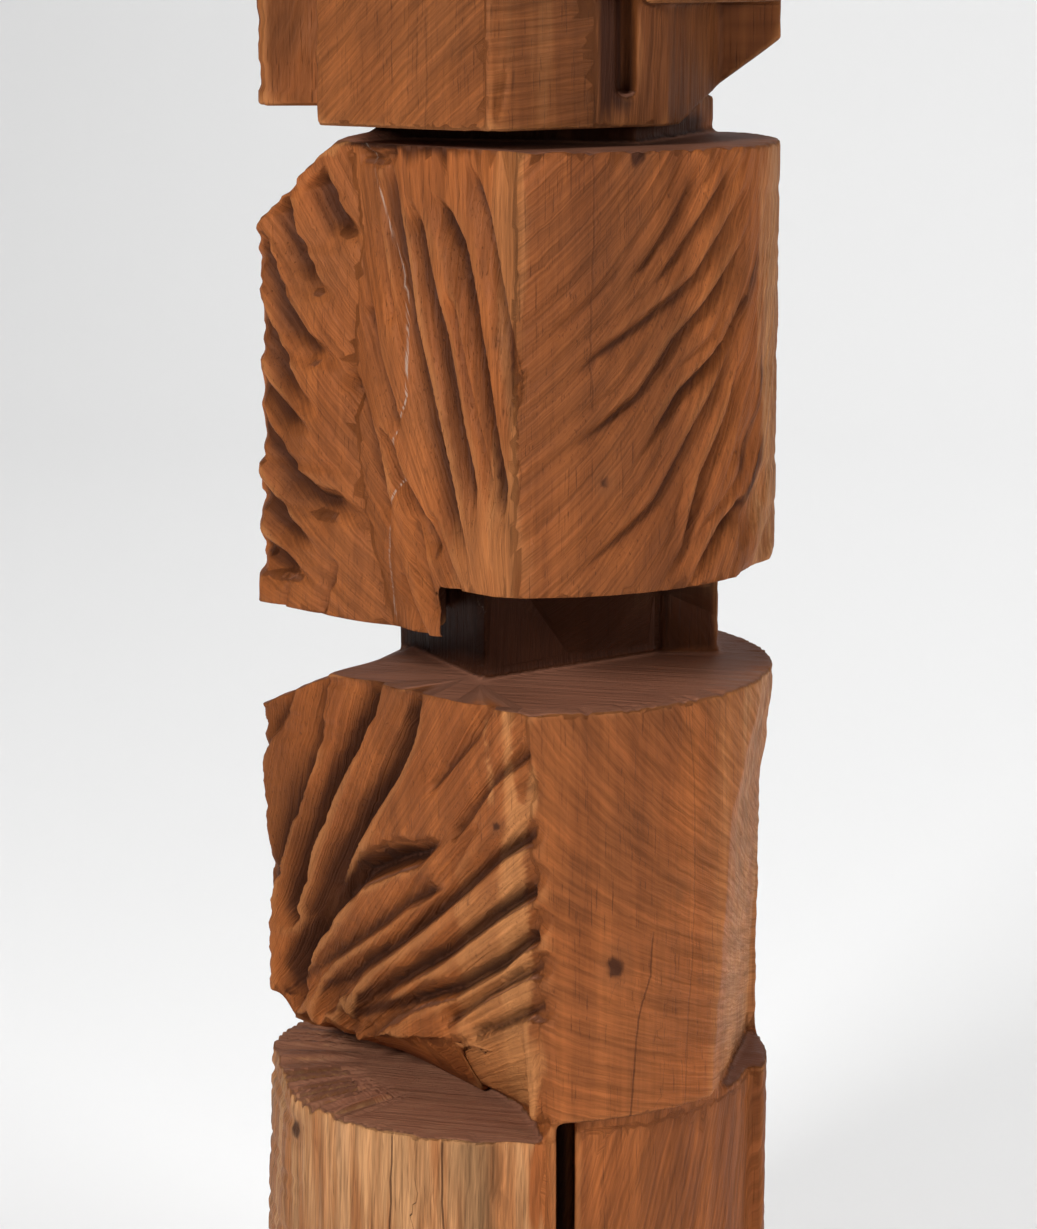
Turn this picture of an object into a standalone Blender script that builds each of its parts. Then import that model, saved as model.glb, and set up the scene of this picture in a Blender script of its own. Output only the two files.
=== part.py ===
"""A totem pole cut from one log: four blocks, three necks and fans of gouge grooves.

Metres, +Z up. The log's axis is the Z axis and its foot stands on z = 0. The front ridge
of the blocks looks towards -Y. Headings are degrees around +Z, counted from +X, so the
front is at 270 and the flat carved face beside it, to the left, looks towards 225.

The log's radius, the heights of its blocks and gaps, and the widths and depths of the saw
and gouge cuts are real sizes. The carving's places in plan are shares of the log's
radius, and a stroke's places are shares of the width and height of its face.
"""

import math

import bmesh
import bpy
from mathutils import Matrix, Vector

# The log, and the heights of its blocks and gaps from the floor up
LOG_RADIUS = 0.170
LOG_SIDES = 72
BASE_HEIGHT = 0.300
SHELF_GAP = 0.043
LOWER_HEIGHT = 0.232
MIDDLE_GAP = 0.040
SKIRT_DROP = 0.032
UPPER_HEIGHT = 0.269
KERF = 0.012
TOP_HEIGHT = 0.272

# Steps in the blocks' feet
OVERHANG_RISE = 0.010
RIDGE_TIP_RISE = 0.017
TOP_LEDGE_RISE = 0.075
HEEL_RISE = 0.012

# Saw slots, and the base's panel set back beside its slot
SLOT_WIDTH = 0.012
SLOT_DEPTH = 0.070
BASE_SLOT_FOOT = 0.070
TOP_SLOT_RISE = 0.020
PANEL_DEPTH = 0.010
PANEL_FOOT = 0.110
PANEL_ARC = (-79, -12)

# Gouge strokes: width and depth
ROPE = (0.019, 0.013)
VALLEY = (0.026, 0.013)
LONG_FLUTE = (0.026, 0.015)
HOLLOW = (0.048, 0.024)
FAN_FLUTE = (0.018, 0.010)
RIDGE_CUT = (0.020, 0.011)
BROAD_SWEEP = (0.028, 0.005)
BACK_FLUTE = (0.030, 0.011)

# Headings of the straight sides
FRONT = 270
LEFT_HEADING = 225
STRIP_HEADING = 248
RIGHT_TAPER_HEADING = 348
FOOT_NECK_HEADING = 209
MIDDLE_NECK_HEADINGS = (37, 115)
TOP_NECK_TURN = -21
TOP_LEFT_HEADING = 233
TOP_RIGHT_HEADING = 303
TOP_SIDE_HEADING = 340
UPPER_BACK_HEADING = 62
LOWER_BACK_HEADING = 118
BASE_LEAN_HEADING = 190

# Reach of the straight sides from the axis, at foot and top, in shares of the radius
UPPER_LEFT_REACH = (0.751, 0.671)
UPPER_STRIP_REACH = (0.935, 0.882)
LOWER_LEFT_REACH = (0.624, 0.709)
LOWER_STRIP_REACH = (0.847, 0.909)
BASE_LEAN_REACH = (1.000, 0.944)
TOP_LEFT_REACH = 0.847
TOP_RIGHT_REACH = 0.782
TOP_SIDE_REACH = 0.712
BACK_REACH = 0.812
RIGHT_TAPER = ((0.868, -0.02), (0.918, 0.68), (1.006, 1.02))
RIGHT_TAPER_BACK = 0.212

# Places in plan, in shares of the radius
FOOT_NECK_REACH = 0.276
FOOT_WALL_FRONT = 0.553
SHELF_RIGHT = 0.118
MIDDLE_NECK_FRONT = (-0.118, -0.418)
MIDDLE_NECK_SIDES = (0.882, 0.829)
MIDDLE_NECK_TRIM = 0.45
POST_CENTRE = (0.682, 0.306)
POST_SIZE = (0.218, 0.471)
SKIRT_EDGE = -0.265
TOP_NECK_CENTRE = (0.120, 0.160)
TOP_NECK_SIZE = (1.035, 0.950)
TOP_SLAB_START = 0.459
SETBACK_CORNER = (-0.753, -0.265)
BASE_SLOT_PLACE = 0.185
TOP_SLOT_PLACE = 0.394

# Slanting shoulders: a place in plan, metres below the top there, and the rise along x and y
LOWER_SHOULDER = ((-0.664, -0.334), 0.0067, (0.486, -0.153))
UPPER_SHOULDER = ((-0.618, -0.471), 0.0, (0.820, -0.260))
CROWN_SHOULDER = ((-0.176, 0.118), 0.0, (0.160, -0.260))
HEEL_START = 0.694
HEEL_SLOPE = 0.75

STROKE_STATIONS = 9
STROKE_ARC_SIDES = 4
STROKE_RISE_SHARE = 0.25
STROKE_CLEARANCE = 0.030
SOLE_OVERRUN = 1.12
PASS = 0.006
FAR = 3 * LOG_RADIUS

# Levels that follow from the heights
LOWER_FOOT = BASE_HEIGHT + OVERHANG_RISE
RIDGE_TIP = BASE_HEIGHT + RIDGE_TIP_RISE
LOWER_EAVE = BASE_HEIGHT + SHELF_GAP
LOWER_TOP = LOWER_EAVE + LOWER_HEIGHT
UPPER_SKIRT = LOWER_TOP + MIDDLE_GAP
UPPER_FOOT = UPPER_SKIRT + SKIRT_DROP
UPPER_TOP = UPPER_FOOT + UPPER_HEIGHT
TOP_FOOT = UPPER_TOP + KERF
TOP_LEDGE = TOP_FOOT + TOP_LEDGE_RISE
LOG_HEIGHT = TOP_FOOT + TOP_HEIGHT
FACE_WIDTH = LOG_RADIUS * math.sqrt(2)


def clear_scene():
    """Remove whatever the scene holds."""
    for thing in list(bpy.data.objects):
        bpy.data.objects.remove(thing, do_unlink=True)


def direction(heading):
    """The level unit vector that looks towards a heading."""
    turn = math.radians(heading)
    return Vector((math.cos(turn), math.sin(turn), 0.0))


def in_plan(place):
    """A place in metres from its shares of the radius."""
    return Vector(place) * LOG_RADIUS


def smooth_step(share):
    """Ease from 0 to 1."""
    share = min(1.0, max(0.0, share))
    return share * share * (3.0 - 2.0 * share)


def mix(first, last, share):
    """A value or vector part of the way from first to last."""
    return first + (last - first) * share


def wood_material():
    """Planed reddish brown wood."""
    material = bpy.data.materials.new("carved wood")
    material.use_nodes = True
    shader = material.node_tree.nodes["Principled BSDF"]
    shader.inputs["Base Color"].default_value = (0.36, 0.15, 0.06, 1.0)
    shader.inputs["Roughness"].default_value = 0.62
    shader.inputs["Metallic"].default_value = 0.0
    return material


def new_object(name, shape):
    """An object of the scene from a bmesh, its faces looking out."""
    bmesh.ops.recalc_face_normals(shape, faces=shape.faces)
    mesh = bpy.data.meshes.new(name)
    shape.to_mesh(mesh)
    shape.free()
    thing = bpy.data.objects.new(name, mesh)
    bpy.context.scene.collection.objects.link(thing)
    return thing


def new_cutter(name, shape):
    """A body that only takes wood away."""
    thing = new_object(name, shape)
    thing.hide_render = True
    thing.display_type = "WIRE"
    return thing


def cut(thing, cutter):
    """Take one cutter's body out of another body."""
    step = thing.modifiers.new("take out " + cutter.name, "BOOLEAN")
    step.operation = "DIFFERENCE"
    step.solver = "EXACT"
    step.object = cutter


def cut_keeping(thing, keepers):
    """Leave some bodies whole when a cutter is used."""
    for keeper in keepers:
        cut(thing, keeper)
    return thing


def join_rings(shape, rings):
    """Skin a row of rings of corners and close both ends."""
    count = len(rings[0])
    for near, far in zip(rings, rings[1:]):
        for corner in range(count):
            after = (corner + 1) % count
            shape.faces.new((near[corner], near[after], far[after], far[corner]))
    shape.faces.new(rings[0])
    shape.faces.new(rings[-1])


def prism(name, outline, foot, top):
    """An upright prism on a level outline."""
    shape = bmesh.new()
    rings = []
    for height in (foot, top):
        rings.append([shape.verts.new((point[0], point[1], height)) for point in outline])
    join_rings(shape, rings)
    return new_cutter(name, shape)


def boxed(name, x_range, y_range, foot, top):
    """An upright box between two planes each way."""
    (left, right), (front, back) = x_range, y_range
    return prism(name, ((left, front), (right, front), (right, back), (left, back)), foot, top)


def turned_box(name, centre, size, turn, foot, top):
    """An upright box around a centre, turned about the vertical."""
    spin = Matrix.Rotation(math.radians(turn), 2)
    outline = []
    for side_x, side_y in ((-0.5, -0.5), (0.5, -0.5), (0.5, 0.5), (-0.5, 0.5)):
        outline.append(centre + spin @ Vector((side_x * size[0], side_y * size[1])))
    return prism(name, outline, foot, top)


def round_bar(name, radius, foot, top):
    """An upright round bar on the log's axis."""
    shape = bmesh.new()
    bmesh.ops.create_cone(
        shape, cap_ends=True, segments=LOG_SIDES, radius1=radius, radius2=radius,
        depth=top - foot, matrix=Matrix.Translation((0.0, 0.0, (foot + top) / 2)))
    return new_object(name, shape)


def beyond_side(name, heading, profile):
    """The wood beyond a straight side, drawn by pairs of reach from the axis and height."""
    outward = direction(heading)
    sideways = Vector((-outward.y, outward.x, 0.0))
    shape = bmesh.new()
    rings = []
    for reach, height in profile:
        ring = []
        for out, side in ((reach, -FAR), (FAR, -FAR), (FAR, FAR), (reach, FAR)):
            place = outward * out + sideways * side
            ring.append(shape.verts.new((place.x, place.y, height)))
        rings.append(ring)
    join_rings(shape, rings)
    return new_cutter(name, shape)


def beside_slope(name, point, rise, foot, top, above=True):
    """The wood above or below a plane through a point, which rises along x and y."""
    shape = bmesh.new()
    size = Matrix.Diagonal((2 * FAR, 2 * FAR, top - foot, 1.0))
    centre = Matrix.Translation((0.0, 0.0, (foot + top) / 2))
    bmesh.ops.create_cube(shape, size=1.0, matrix=centre @ size)
    split = bmesh.ops.bisect_plane(
        shape, geom=shape.verts[:] + shape.edges[:] + shape.faces[:],
        plane_co=point, plane_no=(-rise[0], -rise[1], 1.0), clear_inner=above, clear_outer=not above)
    rim = [part for part in split["geom_cut"] if isinstance(part, bmesh.types.BMEdge)]
    bmesh.ops.edgeloop_fill(shape, edges=rim)
    return new_cutter(name, shape)


def shoulder_cut(name, shoulder, foot, top):
    """The wood above a block's slanting shoulder."""
    place, drop, rise = shoulder
    across = in_plan(place)
    return beside_slope(name, (across.x, across.y, top - drop), rise, foot, top + PASS)


def gap(name, foot, top, kept):
    """A level gap right through the log, less the bodies that are kept in it."""
    return cut_keeping(boxed(name, (-FAR, FAR), (-FAR, FAR), foot, top), kept)


def side_profile(shares, foot, top):
    """A side's reach at its foot and top, carried a little past both."""
    reaches = [share * LOG_RADIUS for share in shares]
    lean = (reaches[1] - reaches[0]) / (top - foot)
    return ((reaches[0] - lean * PASS, foot - PASS), (reaches[1] + lean * PASS, top + PASS))


class Face:
    """A side of a block that strokes are cut in.

    spot turns metres along, height above the floor and metres out into a place.
    """

    def __init__(self, spot, foot, top):
        self.spot = spot
        self.foot = foot
        self.top = top

    def flat(self, shares):
        """Metres along and height from shares of the face's width and height."""
        return Vector((shares[0] * FACE_WIDTH, mix(self.foot, self.top, shares[1])))


def left_face(profile, foot, top):
    """The flat face at the left of the front ridge, measured along from the ridge."""
    outward = direction(LEFT_HEADING)
    leftward = Vector((outward.y, -outward.x, 0.0))
    ridge = leftward.dot(direction(FRONT) * LOG_RADIUS)
    (low_reach, low), (high_reach, high) = profile

    def spot(along, height, out):
        reach = mix(low_reach, high_reach, (height - low) / (high - low))
        place = outward * (reach + out) + leftward * (along + ridge)
        return Vector((place.x, place.y, height))

    return Face(spot, foot, top)


def back_face(heading, foot, top):
    """An upright flat face at the back, measured along from its own middle."""
    outward = direction(heading)
    sideways = Vector((-outward.y, outward.x, 0.0))

    def spot(along, height, out):
        place = outward * (BACK_REACH * LOG_RADIUS + out) + sideways * along
        return Vector((place.x, place.y, height))

    return Face(spot, foot, top)


def round_face(foot, top):
    """The log's own round side, measured from the front ridge round to the right."""

    def spot(along, height, out):
        place = direction(FRONT + math.degrees(along / LOG_RADIUS)) * (LOG_RADIUS + out)
        return Vector((place.x, place.y, height))

    return Face(spot, foot, top)


def gouge_section(size):
    """The outline of a gouge: a round sole to just over the wood's surface, open above it."""
    width, depth = size
    radius = (width * width / 4 + depth * depth) / (2 * depth)
    half_turn = math.atan2(width / 2, radius - depth) * SOLE_OVERRUN
    section = []
    for step in range(STROKE_ARC_SIDES + 1):
        turn = mix(-half_turn, half_turn, step / STROKE_ARC_SIDES)
        section.append((radius * math.sin(turn), radius - depth - radius * math.cos(turn)))
    flare = width / 2 + STROKE_CLEARANCE / 3
    section.append((flare, STROKE_CLEARANCE))
    section.append((-flare, STROKE_CLEARANCE))
    return section


def stroke(name, face, start, end, size, bow=0.0, rise=(1.0, 1.0)):
    """One gouge stroke as a cutter, swept along a bowed line on a face.

    start and end are shares of the face's width and height. The gouge sinks in at the
    start and comes out at the end where rise is 1, and runs at full depth where it is 0.
    """
    begin = face.flat(start)
    travel = face.flat(end) - begin
    bulge = Vector((-travel.y, travel.x)) * bow
    out_of_wood = size[1] + 0.002

    def spot(share, out):
        flat = begin + travel * share + bulge * math.sin(math.pi * share)
        return face.spot(flat.x, flat.y, out)

    shape = bmesh.new()
    rings = []
    for station in range(STROKE_STATIONS):
        share = station / (STROKE_STATIONS - 1)
        raised_at_start = rise[0] * (1.0 - smooth_step(share / STROKE_RISE_SHARE))
        raised_at_end = rise[1] * (1.0 - smooth_step((1.0 - share) / STROKE_RISE_SHARE))
        lift = out_of_wood * (raised_at_start + raised_at_end)
        centre = spot(share, 0.0)
        outward = (spot(share, 0.01) - centre).normalized()
        ahead = (spot(share + 0.02, 0.0) - spot(share - 0.02, 0.0)).normalized()
        sideways = ahead.cross(outward).normalized()
        ring = []
        for side, out in gouge_section(size):
            ring.append(shape.verts.new(centre + sideways * side + outward * (out + lift)))
        rings.append(ring)
    join_rings(shape, rings)
    return new_cutter(name, shape)


def fan(name, face, count, starts, ends, size, bow=0.0, rise=(1.0, 1.0)):
    """A fan of strokes, spread evenly from the first start and end to the last."""
    cutters = []
    for number in range(count):
        share = number / max(1, count - 1)
        start = mix(Vector(starts[0]), Vector(starts[1]), share)
        end = mix(Vector(ends[0]), Vector(ends[1]), share)
        cutters.append(stroke(f"{name} {number + 1}", face, start, end, size, bow, rise))
    return cutters


def foot_cuts():
    """The shelf on the base under the lower block's eave, the base's slot, lean and panel."""
    wall = direction(FOOT_NECK_HEADING)
    along_wall = Vector((-wall.y, wall.x, 0.0))
    front = (wall * FOOT_NECK_REACH + along_wall * FOOT_WALL_FRONT) * LOG_RADIUS
    back = front - along_wall * FAR
    right = SHELF_RIGHT * LOG_RADIUS
    outline = (front, (right, -LOG_RADIUS), (right, -FAR), (-FAR, -FAR), (-FAR, back.y), back)
    shelf = prism("shelf", outline, BASE_HEIGHT, LOWER_EAVE)
    tip_range = (front.x - PASS, front.x + FAR)
    cut(shelf, boxed("ridge tip", tip_range, (-FAR, front.y), RIDGE_TIP, LOWER_TOP))
    slot_middle = BASE_SLOT_PLACE * LOG_RADIUS
    slot_range = (slot_middle - SLOT_WIDTH / 2, slot_middle + SLOT_WIDTH / 2)
    slot = boxed("base slot", slot_range, (-FAR, SLOT_DEPTH - LOG_RADIUS), BASE_SLOT_FOOT, LOWER_FOOT)
    lean_heights = (BASE_HEIGHT / 2, BASE_HEIGHT + PASS)
    lean_reaches = [share * LOG_RADIUS for share in BASE_LEAN_REACH]
    lean = beyond_side("base lean", BASE_LEAN_HEADING, tuple(zip(lean_reaches, lean_heights)))
    panel_outline = [(0.0, 0.0)] + [direction(turn) * FAR for turn in PANEL_ARC]
    panel = prism("base panel", panel_outline, PANEL_FOOT, LOWER_FOOT)
    inner = round_bar("panel bar", LOG_RADIUS - PANEL_DEPTH, 0.0, LOG_HEIGHT)
    inner.hide_render = True
    inner.display_type = "WIRE"
    cut(panel, inner)
    return [shelf, slot, lean, panel]


def middle_neck():
    """The square neck between the two middle blocks, a corner to the front, its back trimmed."""
    sides = zip(MIDDLE_NECK_HEADINGS, MIDDLE_NECK_SIDES)
    right, left = (direction(heading).xy * side * LOG_RADIUS for heading, side in sides)
    front = in_plan(MIDDLE_NECK_FRONT)
    right_back = front + right + left * MIDDLE_NECK_TRIM
    left_back = front + left + right * MIDDLE_NECK_TRIM
    outline = (front, front + right, right_back, left_back, front + left)
    return prism("middle neck", outline, LOWER_EAVE, UPPER_FOOT + PASS)


def middle_cuts():
    """The gap between the middle blocks, and the lower one's shoulder and right taper."""
    neck = middle_neck()
    high = UPPER_FOOT + PASS
    post = turned_box("post", in_plan(POST_CENTRE), in_plan(POST_SIZE), 0, LOWER_EAVE, high)
    skirt = boxed("skirt", (-2 * FAR, SKIRT_EDGE * LOG_RADIUS), (-2 * FAR, 2 * FAR), UPPER_SKIRT, UPPER_TOP)
    opening = gap("middle gap", LOWER_TOP, UPPER_FOOT, (neck, post, skirt))
    shoulder = shoulder_cut("lower shoulder", LOWER_SHOULDER, LOWER_EAVE, LOWER_TOP)
    cut(shoulder, neck)
    taper_profile = []
    for reach, height in RIGHT_TAPER:
        taper_profile.append((reach * LOG_RADIUS, mix(LOWER_FOOT, LOWER_TOP, height)))
    taper = beyond_side("right taper", RIGHT_TAPER_HEADING, taper_profile)
    behind = (RIGHT_TAPER_BACK * LOG_RADIUS, 2 * FAR)
    cut(taper, boxed("back of the log", (-2 * FAR, 2 * FAR), behind, 0.0, LOG_HEIGHT))
    return [opening, shoulder, taper]


def upper_cuts():
    """The saw kerf over the upper block, that block's shoulder and the heel above it."""
    centre = in_plan(TOP_NECK_CENTRE)
    size = in_plan(TOP_NECK_SIZE)
    neck = turned_box("top neck", centre, size, TOP_NECK_TURN, UPPER_FOOT, TOP_FOOT + HEEL_RISE)
    kerf = gap("top kerf", UPPER_TOP, TOP_FOOT, (neck,))
    shoulder = shoulder_cut("upper shoulder", UPPER_SHOULDER, UPPER_FOOT, UPPER_TOP)
    heel_point = (HEEL_START * LOG_RADIUS, 0.0, TOP_FOOT + HEEL_RISE)
    heel = beside_slope("heel", heel_point, (HEEL_SLOPE, 0.0), TOP_FOOT - KERF / 3, LOG_HEIGHT, above=False)
    cut_keeping(shoulder, (neck,))
    cut_keeping(heel, (neck,))
    return [kerf, shoulder, heel]


def face_cuts():
    """The straight sides of the two middle blocks."""
    upper_back = side_profile((BACK_REACH, BACK_REACH), UPPER_SKIRT, UPPER_TOP)
    lower_back = side_profile((BACK_REACH, BACK_REACH), LOWER_EAVE, LOWER_TOP)
    upper_strip = side_profile(UPPER_STRIP_REACH, UPPER_SKIRT, UPPER_TOP)
    lower_strip = side_profile(LOWER_STRIP_REACH, RIDGE_TIP, LOWER_TOP)
    return [
        beyond_side("upper left face", LEFT_HEADING, upper_left_profile()),
        beyond_side("upper strip", STRIP_HEADING, upper_strip),
        beyond_side("lower left face", LEFT_HEADING, lower_left_profile()),
        beyond_side("lower strip", STRIP_HEADING, lower_strip),
        beyond_side("upper back face", UPPER_BACK_HEADING, upper_back),
        beyond_side("lower back face", LOWER_BACK_HEADING, lower_back),
    ]


def upper_left_profile():
    """The upper block's left face, from its skirt to its top."""
    return side_profile(UPPER_LEFT_REACH, UPPER_SKIRT, UPPER_TOP)


def lower_left_profile():
    """The lower block's left face, from its eave to its top."""
    return side_profile(LOWER_LEFT_REACH, LOWER_EAVE, LOWER_TOP)


def top_cuts():
    """The top block's front faces, its notch, set-back, slot and sloping crown."""
    low = TOP_FOOT - PASS
    over_top = LOG_HEIGHT + PASS
    all_round = (-2 * FAR, 2 * FAR)

    def upright(reach, top):
        return ((reach * LOG_RADIUS, low), (reach * LOG_RADIUS, top))

    left = beyond_side("top left face", TOP_LEFT_HEADING, upright(TOP_LEFT_REACH, over_top))
    board = beyond_side("top board", TOP_RIGHT_HEADING, upright(TOP_RIGHT_REACH, over_top))
    slab = boxed("slab", (TOP_SLAB_START * LOG_RADIUS, 2 * FAR), all_round, TOP_LEDGE, LOG_HEIGHT + FAR)
    cut(board, slab)
    notch = beyond_side("top notch", TOP_SIDE_HEADING, upright(TOP_SIDE_REACH, TOP_LEDGE))
    cut(notch, boxed("back right", all_round, (0.0, 2 * FAR), 0.0, LOG_HEIGHT))
    corner = in_plan(SETBACK_CORNER)
    setback = boxed("set-back", (-FAR, corner.x), (-FAR, corner.y), low, over_top)
    slot_middle = TOP_SLOT_PLACE * LOG_RADIUS
    slot_range = (slot_middle - SLOT_WIDTH / 2, slot_middle + SLOT_WIDTH / 2)
    slot = boxed("top slot", slot_range, (-FAR, SLOT_DEPTH - LOG_RADIUS), TOP_FOOT + TOP_SLOT_RISE, over_top)
    crown = shoulder_cut("crown", CROWN_SHOULDER, TOP_LEDGE, LOG_HEIGHT)
    return [left, board, notch, setback, slot, crown]


def upper_strokes():
    """The ropes, the fan and the sweeps on the upper block."""
    left = left_face(upper_left_profile(), UPPER_SKIRT, UPPER_TOP)
    right = round_face(UPPER_SKIRT, UPPER_TOP)
    runs_off = (0.0, 1.0)
    strokes = fan(
        "rope", left, 7, ((1.12, 0.88), (1.12, 0.13)), ((0.63, 0.46), (0.72, -0.08)),
        ROPE, 0.05, runs_off)
    strokes += fan(
        "shoulder rope", left, 3, ((1.00, 0.97), (0.75, 0.97)), ((0.75, 0.58), (0.62, 0.70)),
        ROPE, 0.04, runs_off)
    strokes += fan(
        "fan flute", left, 8, ((0.18, 0.97), (0.65, 0.52)), ((-0.05, 0.26), (0.31, -0.13)),
        FAN_FLUTE, -0.07)
    strokes.append(stroke("valley", left, (0.82, 0.66), (0.44, -0.05), VALLEY, 0.06))
    strokes += fan(
        "sweep", right, 7, ((0.50, 0.97), (1.04, 0.25)), ((-0.02, 0.58), (0.46, 0.05)),
        BROAD_SWEEP, 0.12)
    return strokes


def lower_strokes():
    """The long flutes, the hollow and the ridge cuts on the lower block."""
    left = left_face(lower_left_profile(), LOWER_EAVE, LOWER_TOP)
    strokes = fan(
        "long flute", left, 3, ((0.71, 1.11), (0.34, 1.11)), ((1.09, 0.25), (0.86, 0.04)),
        LONG_FLUTE, -0.02, (0.0, 0.6))
    strokes.append(stroke("hollow", left, (0.17, 1.11), (0.82, 0.10), HOLLOW, 0.09, (0.5, 1.0)))
    strokes.append(stroke("short flute", left, (0.02, 1.07), (0.54, 0.40), FAN_FLUTE, 0.06))
    strokes += fan(
        "ridge cut", left, 6, ((-0.13, 0.85), (-0.17, 0.23)), ((0.99, 0.03), (0.25, 0.00)),
        RIDGE_CUT, 0.06, (0.0, 1.0))
    return strokes


def back_strokes():
    """Plainer fans of flutes on the flat faces at the back."""
    upper = back_face(UPPER_BACK_HEADING, UPPER_FOOT, UPPER_TOP)
    lower = back_face(LOWER_BACK_HEADING, LOWER_EAVE, LOWER_TOP)
    strokes = []
    for name, face in (("upper", upper), ("lower", lower)):
        strokes += fan(
            f"{name} back flute", face, 5, ((-0.36, 0.97), (0.36, 0.97)), ((-0.44, 0.35), (0.14, 0.03)),
            BACK_FLUTE, 0.05)
    return strokes


def build_totem():
    """Carve the log."""
    totem = round_bar("totem", LOG_RADIUS, 0.0, LOG_HEIGHT)
    totem.data.materials.append(wood_material())
    cutters = face_cuts() + top_cuts() + foot_cuts() + middle_cuts() + upper_cuts()
    cutters += upper_strokes() + lower_strokes() + back_strokes()
    cut_keeping(totem, cutters)


clear_scene()
build_totem()
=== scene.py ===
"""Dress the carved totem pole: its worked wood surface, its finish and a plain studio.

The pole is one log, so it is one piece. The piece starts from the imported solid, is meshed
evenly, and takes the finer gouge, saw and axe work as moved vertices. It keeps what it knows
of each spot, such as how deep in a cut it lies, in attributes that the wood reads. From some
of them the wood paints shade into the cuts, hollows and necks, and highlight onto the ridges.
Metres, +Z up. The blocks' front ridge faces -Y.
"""

import math

import bmesh
import bpy
import numpy as np
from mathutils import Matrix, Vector
from mathutils.bvhtree import BVHTree


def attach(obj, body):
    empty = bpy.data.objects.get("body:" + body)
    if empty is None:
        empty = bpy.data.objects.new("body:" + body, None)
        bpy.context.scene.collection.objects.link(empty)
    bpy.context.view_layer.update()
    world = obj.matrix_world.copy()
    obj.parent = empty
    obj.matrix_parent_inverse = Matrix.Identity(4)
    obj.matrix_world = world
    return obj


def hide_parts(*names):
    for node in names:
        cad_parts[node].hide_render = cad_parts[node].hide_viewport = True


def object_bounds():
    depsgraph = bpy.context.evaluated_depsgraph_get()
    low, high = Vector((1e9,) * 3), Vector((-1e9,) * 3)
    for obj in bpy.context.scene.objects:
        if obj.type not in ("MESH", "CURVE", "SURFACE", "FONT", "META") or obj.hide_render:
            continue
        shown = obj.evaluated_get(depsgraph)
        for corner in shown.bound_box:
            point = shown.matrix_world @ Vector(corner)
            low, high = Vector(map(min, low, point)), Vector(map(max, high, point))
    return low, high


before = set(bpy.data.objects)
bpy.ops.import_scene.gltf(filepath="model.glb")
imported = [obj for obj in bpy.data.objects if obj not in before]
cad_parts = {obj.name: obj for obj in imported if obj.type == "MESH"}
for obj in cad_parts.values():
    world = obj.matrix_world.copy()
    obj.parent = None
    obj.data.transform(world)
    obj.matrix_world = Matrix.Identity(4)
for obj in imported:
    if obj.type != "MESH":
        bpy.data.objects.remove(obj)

CAD_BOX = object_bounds()
NODE = "totem"
PIECE = "carved_log"

bl_info = {
    "name": "Carved totem pole",
    "version": (1, 0, 0),
    "blender": (4, 5, 0),
    "location": "3D View > Sidebar > Totem",
    "description": "Makes the worked surface of a log totem and a plain studio for it",
    "category": "Object",
}

# The log and the levels of its blocks, from the floor up
LOG_HEIGHT = CAD_BOX[1][2] - CAD_BOX[0][2]
LOG_RADIUS = 0.170
BASE_TOP = 0.300
LOWER_FOOT = 0.310
LOWER_EAVE = 0.343
LOWER_TOP = 0.575
UPPER_SKIRT = 0.615
UPPER_FOOT = 0.647
UPPER_TOP = 0.916
TOP_FOOT = 0.928

# The flat left faces: their heading, and their reach from the log's axis at foot and top
LEFT_HEADING = math.radians(225)
UPPER_LEFT = (0.1277, 0.1141)
LOWER_LEFT = (0.1061, 0.1205)

# The narrow facet on the front ridge, likewise
STRIP_HEADING = math.radians(248)
UPPER_STRIP = (0.1590, 0.1499)
LOWER_STRIP = (0.1440, 0.1545)

# The crest of the front ridge: how far right of the front at foot and top
UPPER_RIDGE = (-0.002, 0.012)
LOWER_RIDGE = (0.018, 0.005)

# The front of the log's round, from which places on its faces are counted
FRONT = np.array((0.0, -LOG_RADIUS, 0.0))
MM = 0.001

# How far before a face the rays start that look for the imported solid's skin
STAND_OFF = 0.04

# Stretches of the faces, sideways: where the skin is looked for, and where it is cut
LEFT_LOOK = (-0.03, 0.27)
LEFT_WORK = (-0.022, 0.255)
RIGHT_LOOK = (-0.02, 0.22)
RIGHT_WORK = (0.004, 0.165)

# Depth at which the painted shade in a cut is at its darkest, on the flat left faces and on
# the round
LEFT_DARKEST = 0.013
ROUND_DARKEST = 0.010

# How softly one block's wood gives way to the next one's
BLOCK_SOFT = 0.004


# Sizes and colours


class CarvingSizes(bpy.types.PropertyGroup):
    """How finely the log is meshed and how strongly the tools bit"""

    voxel: bpy.props.FloatProperty(
        name="Mesh size", description="Side of the even mesh that the tools work on",
        default=0.0022, min=0.0015, max=0.01, unit="LENGTH", precision=4)
    rounding: bpy.props.IntProperty(
        name="Rounding", description="Times that each edge is eased by its neighbours",
        default=2, min=0, max=20)
    face_budget: bpy.props.IntProperty(
        name="Triangles", description="Most triangles that the finished piece may have",
        default=190000, min=20000, max=199000)
    chatter: bpy.props.FloatProperty(
        name="Chatter", description="Depth of the fine scallops that each blade leaves",
        default=0.00045, min=0.0, max=0.004, unit="LENGTH", precision=4)
    waviness: bpy.props.FloatProperty(
        name="Waviness", description="How far broad facets stray from a true face",
        default=0.0006, min=0.0, max=0.008, unit="LENGTH", precision=4)
    seed: bpy.props.IntProperty(
        name="Seed", description="Number that every random choice starts from",
        default=11, min=0)


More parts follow.
